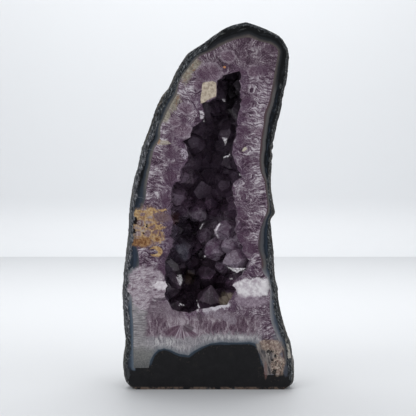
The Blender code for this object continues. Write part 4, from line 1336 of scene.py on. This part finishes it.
# %% Finish: the polished quartz with its fibres
def polished_quartz():
    finish = Finish("polished amethyst", 0.25, 0.3)
    inward, along = finish.value("from_agate"), finish.value("along")
    hollow = finish.value("to_hollow").most(0.0)
    share = inward / (inward + hollow + 0.5)
    bend = (finish.noise(9, 3) - 0.5) * 5
    lean = (finish.noise(15, 1) - 0.5) * 1.8
    line = along + bend + inward * lean
    sugar = finish.noise(1.4, 2, 0.6)
    strokes = finish.noise(1, 2, 0.55, finish.join(line / 1.3, inward / 9))
    crossed = finish.noise(1, 2, 0.5, finish.join((line + inward * 0.7) / 1.2, inward / 5, 3.0))
    columns = finish.noise(1, 3, 0.6, finish.join((line + bend) / 5, inward / 13, 9.0))
    zones = finish.noise(1, 2, 0.5, finish.join(line / 9, (inward + bend * 0.4) / 1.5, 5.0))
    clouds = finish.noise(13, 3)
    grown = finish.join((along + bend * 0.6) / 7.5, (inward + bend * 0.4) / 9.5)
    own_tone = finish.own_shade(1, grown) - 0.5
    cell_edge = finish.cells(1, grown, "DISTANCE_TO_EDGE").smooth(0.13, 0.03)
    by_hollow = hollow.smooth(15, 2)
    near_top = finish.z.smooth(306, 328)
    light = (strokes * 2.3 + sugar * 0.7 + crossed * 0.8 + zones * 0.5 + columns * 1.1 + clouds * 1.1 - 2.78
             + own_tone * (by_hollow * 0.4 + 0.1) + cell_edge * share.smooth(0.3, 0.7) * 0.1)
    light = light - (strokes - 0.5) * near_top * 0.4 - (crossed - 0.5) * near_top * 0.5
    light = light - share * 0.1 - 0.01 - finish.z.smooth(310, 335) * 0.1
    light = light + inward.smooth(18, 4) * finish.z.between(190, 310, 8) * 0.14
    colour = light.ramp((0.05, tone(52, 34, 50)), (0.28, tone(82, 61, 78)), (0.5, tone(112, 96, 109)),
                        (0.72, tone(144, 132, 142)), (0.95, tone(190, 183, 189)))
    browner = light.ramp((0.3, tone(72, 56, 66)), (0.5, tone(104, 92, 98)), (0.75, tone(148, 140, 142)))
    colour = mix(near_top * 0.35, colour, browner)
    colour = mix(by_hollow * finish.noise(8, 3).smooth(0.35, 0.6) * 0.45, colour, rgba(tone(88, 64, 88)))
    shaded = (hollow + finish.sway_x * 14).smooth(5, 0.5) * finish.z.smooth(88, 104)
    shadow = (strokes * 0.5 + sugar * 0.5).ramp((0.36, tone(50, 34, 50)), (0.64, tone(92, 72, 92)))
    colour = mix(shaded * finish.noise(7, 2).smooth(0.3, 0.55) * 0.6, colour, shadow)
    threads = crossed.smooth(0.6, 0.72) * share.smooth(0.85, 0.5)
    colour = mix(threads * 0.35, colour, rgba(tone(176, 170, 176)))
    by_left = finish.patches(((-36, 156, 17, 66), (-34, 226, 14, 26)), 0.35, 12)
    by_left = by_left * finish.noise(5, 3).smooth(0.36, 0.52)
    colour = mix(by_left * 0.6, colour, strokes.ramp((0.36, tone(52, 35, 52)), (0.64, tone(104, 84, 104))))
    spots = finish.noise(3.4, 3, 0.6).smooth(0.58, 0.68) * share.smooth(0.1, 0.45)
    colour = mix(spots * 0.6, colour, rgba(tone(66, 45, 62)))
    grain = sugar * 0.35 + strokes * 0.4 + columns * 0.25
    colour = bottom_band(finish, colour, inward, grain)
    colour = near_agate_stains(finish, colour, inward)
    colour = small_marks(finish, colour, grain, hollow)
    colour = limonite(finish, colour)
    colour = white_quartz(finish, colour)
    colour = brown_foot(finish, colour)
    finish.set("Base Color", colour)
    finish.set("Roughness", sugar.smooth(0.3, 0.7, 0.2, 0.34))
    finish.bump(sugar, 0.15)
    return finish.material


# %% [markdown]
# Amethyst is clear quartz that is coloured by traces of iron. Light goes into a point, loses its green
# on the way and mostly dies in the pile below, so the hollow looks nearly black and only faces that
# mirror the room stand out. The points pass part of the light, with the index of quartz. Their colour
# is painted darker with the depth behind the cut, as painted shade, and the faces that mirror the room
# are painted on as a glow, as painted highlights.

# %% Finish: painted highlights on the points
@once()
def glints(finish, glow):
    """Painted highlights: the few faces that mirror the light of the room, painted on as an added glow."""
    mottle = finish.noise(1.8, 3, 0.6).smooth(0.4, 0.56, 0.3, 1.0)
    shapes = (
        (0.62, (19.5, 121.5), (38, 120.5), (29.5, 115), (24.5, 117)),
        (0.6, (11.8, 166), (12.6, 165), (8.6, 158.8), (6.4, 158.5)),
        (0.26, (6.4, 158.5), (8.8, 158.8), (11, 151), (9.5, 151)),
        (0.6, (-6, 164.5), (-5, 165), (-8, 159.5), (-8.8, 160)),
        (0.42, (14.5, 253.5), (19.5, 253), (19, 248), (17.5, 246.5)),
        (0.5, (16, 235.5), (22, 236.5), (22, 235), (16, 233.8)),
        (0.3, (-8.5, 279), (-5.5, 277), (-3.5, 271), (-7.5, 271.5)),
        (0.34, (-33, 111.5), (-28, 112), (-26.5, 106), (-28.5, 101.5), (-30, 106)),
        (0.025, (20, 284), (24, 283), (32, 270), (29, 269.5)),
        (0.5, (-4.5, 131.5), (-3, 132), (-2.5, 130.5), (-4, 130)),
        (0.34, (22, 109.5), (25, 110), (25.5, 109), (22.5, 108.5)),
        (0.4, (-30, 83), (-28.5, 83.5), (-24, 80.5), (-26, 80.5)),
        (0.45, (-12, 85), (-10.5, 86), (-8, 79.5), (-9.5, 80)),
        (0.6, (31.8, 216.5), (33.2, 216), (33, 214), (32, 214.2)),
        (0.3, (14.5, 294), (17, 293.5), (18, 291.5), (15.5, 292)),
    )
    facing = finish.x.node("ShaderNodeNewGeometry", None, None, 1)
    forward = finish.x.node("ShaderNodeSeparateXYZ", None, {0: facing}, 1).smooth(-0.06, -0.2)
    for strength, *corners in shapes:
        shape = finish.facet(*corners, soft=0.5, ragged=1.6) * forward
        glow = mix(shape * mottle, glow, rgba((strength * 0.97, strength * 0.95, strength)))
    return glow


# %% [markdown]
# The purple isn't even: it is paler in the cluster on the right, bluish on one face and brown where iron
# oxide has settled at the bottom. Each is a soft stain over the base colour, with a mottle in it, because
# even a flat crystal face has clouds. Painted shade makes the upper half, the deepest parts, a gap on the
# left and the lower hollow nearly black, and the points just behind the cut are painted lighter.

# %% Finish: the crystal points
def amethyst_points():
    finish = Finish("amethyst points", 0.2, 0.16, IOR=1.544, Transmission_Weight=0.3)
    deep = finish.y - frame_low[1]
    zones = finish.noise(11, 3)
    grain = finish.noise(1.6, 3, 0.6)
    veil = finish.noise(4, 4, 0.7, None, 0.6)
    mottle = zones * 0.7 + grain * 0.8 + veil * 0.9 - 0.7
    # Painted shade: the points get darker with the depth behind the cut.
    shade = deep.smooth(2, 46) * 0.2 + (zones - 0.5) * 1.2 + (grain - 0.5) * 1.3 + 0.42
    colour = shade.ramp((0.0, tone(140, 118, 138)), (0.3, tone(108, 86, 106)), (0.55, tone(80, 62, 80)),
                        (0.9, tone(58, 44, 60)))
    left = finish.x.smooth(-8, -24) * finish.z.smooth(188, 174)
    colour = mix(left * 0.75, colour, mottle.ramp((0.35, tone(42, 36, 46)), (0.65, tone(80, 72, 86))))
    bluish = finish.facet((-34, 143), (-24, 145), (-20, 136), (-22, 127), (-28, 130), soft=1.2, ragged=2.0)
    colour = mix(bluish * 0.7, colour, mottle.ramp((0.35, tone(74, 72, 84)), (0.65, tone(118, 116, 130))))
    # Painted shade: a dark oval where a gap between the points lies in shade.
    ring = finish.patch(-20, 157, 22, 26, 0.35, 6)
    colour = mix(ring * 0.75, colour, rgba(tone(38, 30, 40)))
    cluster = finish.patches(((14, 148, 44, 50), (22, 124, 34, 24)), 0.3)
    colour = mix(cluster * 0.55, colour, mottle.ramp((0.38, tone(84, 62, 84)), (0.62, tone(174, 160, 176))))
    pale = finish.patches(((-10, 173, 18, 11), (-23, 175, 11, 9)), 0.15)
    colour = mix(pale * 0.6, colour, mottle.ramp((0.36, tone(96, 84, 98)), (0.64, tone(166, 154, 168))))
    # Painted shade: the upper half of the hollow is painted nearly black, darker still deeper in.
    upper = finish.z.smooth(188, 206)
    upper_hollow_shade = mix(deep.smooth(14, 42), mottle.ramp((0.36, tone(40, 30, 42)), (0.64, tone(66, 52, 68))),
                mottle.ramp((0.36, tone(64, 50, 66)), (0.64, tone(104, 88, 106))))
    # Painted shade: the upper corner on the right is painted darker still.
    top_corner_shade = finish.patch(27, 296, 20, 56, 0.3)
    upper_hollow_shade = mix(top_corner_shade, upper_hollow_shade, mottle.ramp((0.36, tone(26, 19, 28)), (0.64, tone(44, 34, 46))))
    colour = mix(upper * 0.85, colour, upper_hollow_shade)
    colour = mix(top_corner_shade * 0.8, colour, upper_hollow_shade)
    by_left = finish.patches(((-26, 207, 26, 52), (-30, 180, 20, 16)), 0.4)
    colour = mix(by_left * 0.7, colour, mottle.ramp((0.38, tone(66, 46, 66)), (0.62, tone(132, 112, 132))))
    # Painted light: the points just behind the cut, where the light reaches them, are painted lighter.
    edge = deep.smooth(8, 1) * finish.z.between(126, 192, 6)
    colour = mix(edge * 0.6, colour, mottle.ramp((0.36, tone(92, 70, 90)), (0.64, tone(160, 144, 160))))
    # Painted shade: the open lower hollow is painted nearly black over its points.
    low = finish.patches(((3, 94, 40, 26), (-6, 122, 26, 22), (-27, 98, 22, 52)), 0.25)
    colour = mix(low * 0.9, colour, mottle.ramp((0.36, tone(36, 25, 36)), (0.64, tone(76, 57, 74))))
    spread = (finish.z - 76).maths("ARCTAN2", finish.x - 30)
    fan = finish.noise(1, 2, 0.6, finish.join(spread * 5, 2.0))
    brown = fan.ramp((0.38, tone(84, 70, 64)), (0.52, tone(150, 136, 122)), (0.66, tone(192, 180, 166)))
    colour = mix(finish.patch(22, 87, 21, 17, 0.2), colour, brown)
    for place, iron in (((-34, 171, 9, 12, 0.3), (92, 58, 58)), ((-19, 109, 10, 13, 0.4), (96, 78, 66))):
        colour = mix(finish.patch(*place) * 0.7, colour, rgba(tone(*iron)))
    seams = (finish.noise(5, 2, 0.5) - 0.5).maths("ABSOLUTE").smooth(0.022, 0.004)
    colour = mix(seams * veil.smooth(0.4, 0.6) * 0.4, colour, rgba(tone(150, 140, 154)))
    finish.set("Base Color", colour)
    # Painted highlights: a glow on the few faces that mirror the room.
    finish.set("Emission Color", glints(finish, rgba((0.0, 0.0, 0.0))))
    finish.shader.inputs["Emission Strength"].default_value = 1.0
    finish.set("Roughness", zones.smooth(0.35, 0.65, 0.16, 0.32) + upper * 0.3 + low * 0.25)
    finish.bump(finish.noise(1, 2, 0.5, finish.join(finish.x / 5, finish.y / 5, finish.z / 1.2)), 0.03)
    return finish.material


# %% Give both pieces their finishes
for body, finishes in ((rind, (rough_basalt(), polished_rind())),
                       (crust, (amethyst_points(), polished_quartz()))):
    indices = [face.material_index for face in body.data.polygons]
    body.data.materials.clear()
    for made in finishes:
        body.data.materials.append(made)
        print(made.name, "has nodes:", len(made.node_tree.nodes))
    body.data.polygons.foreach_set("material_index", indices)

# %% [markdown]
# The frame holds one body with two plain solids, the rind and the crust. Each dressed piece rides on
# that body and stands in for its solid, which is hidden.

# %% Join the pieces to the frame
for piece, node, slot in ((rind, "rind", "rind_stone"), (crust, "amethyst_crust", "amethyst")):
    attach(piece, "root")
    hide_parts(node)

# %% [markdown]
# The stone stands on a pale sheet that ends far behind it, where a pale wall goes up. The light is that
# of a white room: a broad soft one overhead and a little behind, which leaves the soft shadow in front
# of the base, and weaker ones in front that reach the cut face.

# %% Floor, backdrop, light and camera
FLOOR_FRONT, FLOOR_BACK, BEND, WALL_TOP, SHEET_HALF = -5.0, 3.0, 0.22, 4.5, 7.0


def backdrop():
    """A pale floor that turns up into a wall far behind the stone."""
    bm = bmesh.new()
    profile = [(FLOOR_FRONT, 0.0), (FLOOR_BACK, 0.0)]
    for angle in np.linspace(0.1, math.pi / 2, 10):
        profile.append((FLOOR_BACK + BEND * math.sin(angle), BEND - BEND * math.cos(angle)))
    profile.append((FLOOR_BACK + BEND, WALL_TOP))
    rows = [[bm.verts.new((x, y, z)) for y, z in profile] for x in (-SHEET_HALF, SHEET_HALF)]
    for i in range(len(profile) - 1):
        bm.faces.new((rows[0][i], rows[1][i], rows[1][i + 1], rows[0][i + 1]))
    mesh = bpy.data.meshes.new("backdrop")
    bm.to_mesh(mesh)
    bm.free()
    for face in mesh.polygons:
        face.use_smooth = True
    sheet = bpy.data.objects.new("backdrop", mesh)
    bpy.context.scene.collection.objects.link(sheet)
    for name, level in (("pale floor", 0.6), ("pale wall", 0.72)):
        made = bpy.data.materials.new(name)
        made.use_nodes = True
        shader = made.node_tree.nodes["Principled BSDF"]
        shader.inputs["Base Color"].default_value = (level, level * 1.02, level * 1.045, 1)
        shader.inputs["Roughness"].default_value = 0.5
        shader.inputs["Specular IOR Level"].default_value = 0.2
        mesh.materials.append(made)
    for face in mesh.polygons:
        face.material_index = int(face.center.z > 0.001)
    sheet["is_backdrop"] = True


def soft_light(name, place, aim, size, power):
    """A square lamp that looks from its place at a point, with its size in metres and power in watts."""
    light = bpy.data.lights.new(name, "AREA")
    light.energy, light.size = power, size
    lamp = bpy.data.objects.new(name, light)
    lamp.location = place
    lamp.rotation_euler = (Vector(aim) - Vector(place)).to_track_quat("-Z", "Y").to_euler()
    bpy.context.scene.collection.objects.link(lamp)


backdrop()
soft_light("overhead", (0.0, 0.5, 1.5), (0, 0.05, 0.1), 1.2, 14)
soft_light("front left", (-1.1, -1.6, 1.4), (0, 0, 0.18), 1.8, 13)
soft_light("front right", (1.3, -1.5, 0.95), (0, 0, 0.18), 1.6, 8)
soft_light("wall", (0, 1.6, 2.6), (0, 3.4, 0.4), 2.2, 62)
world = bpy.data.worlds.new("room")
world.use_nodes = True
world.node_tree.nodes["Background"].inputs[0].default_value = (0.96, 0.975, 1.0, 1)
world.node_tree.nodes["Background"].inputs[1].default_value = 0.5
bpy.context.scene.world = world
bpy.context.scene.view_settings.view_transform = "Standard"

CAMERA_AWAY, CAMERA_HEIGHT, VIEW_WIDTH, SENSOR = 1.15, 0.1815, 0.416, 36
camera = bpy.data.objects.new("camera", bpy.data.cameras.new("camera"))
camera.data.sensor_width = SENSOR
camera.data.lens = SENSOR * CAMERA_AWAY / VIEW_WIDTH
camera.location = (0.0, frame_low[1] * MM - CAMERA_AWAY, CAMERA_HEIGHT)
camera.rotation_euler = (math.pi / 2, 0, 0)
bpy.context.scene.collection.objects.link(camera)
bpy.context.scene.camera = camera
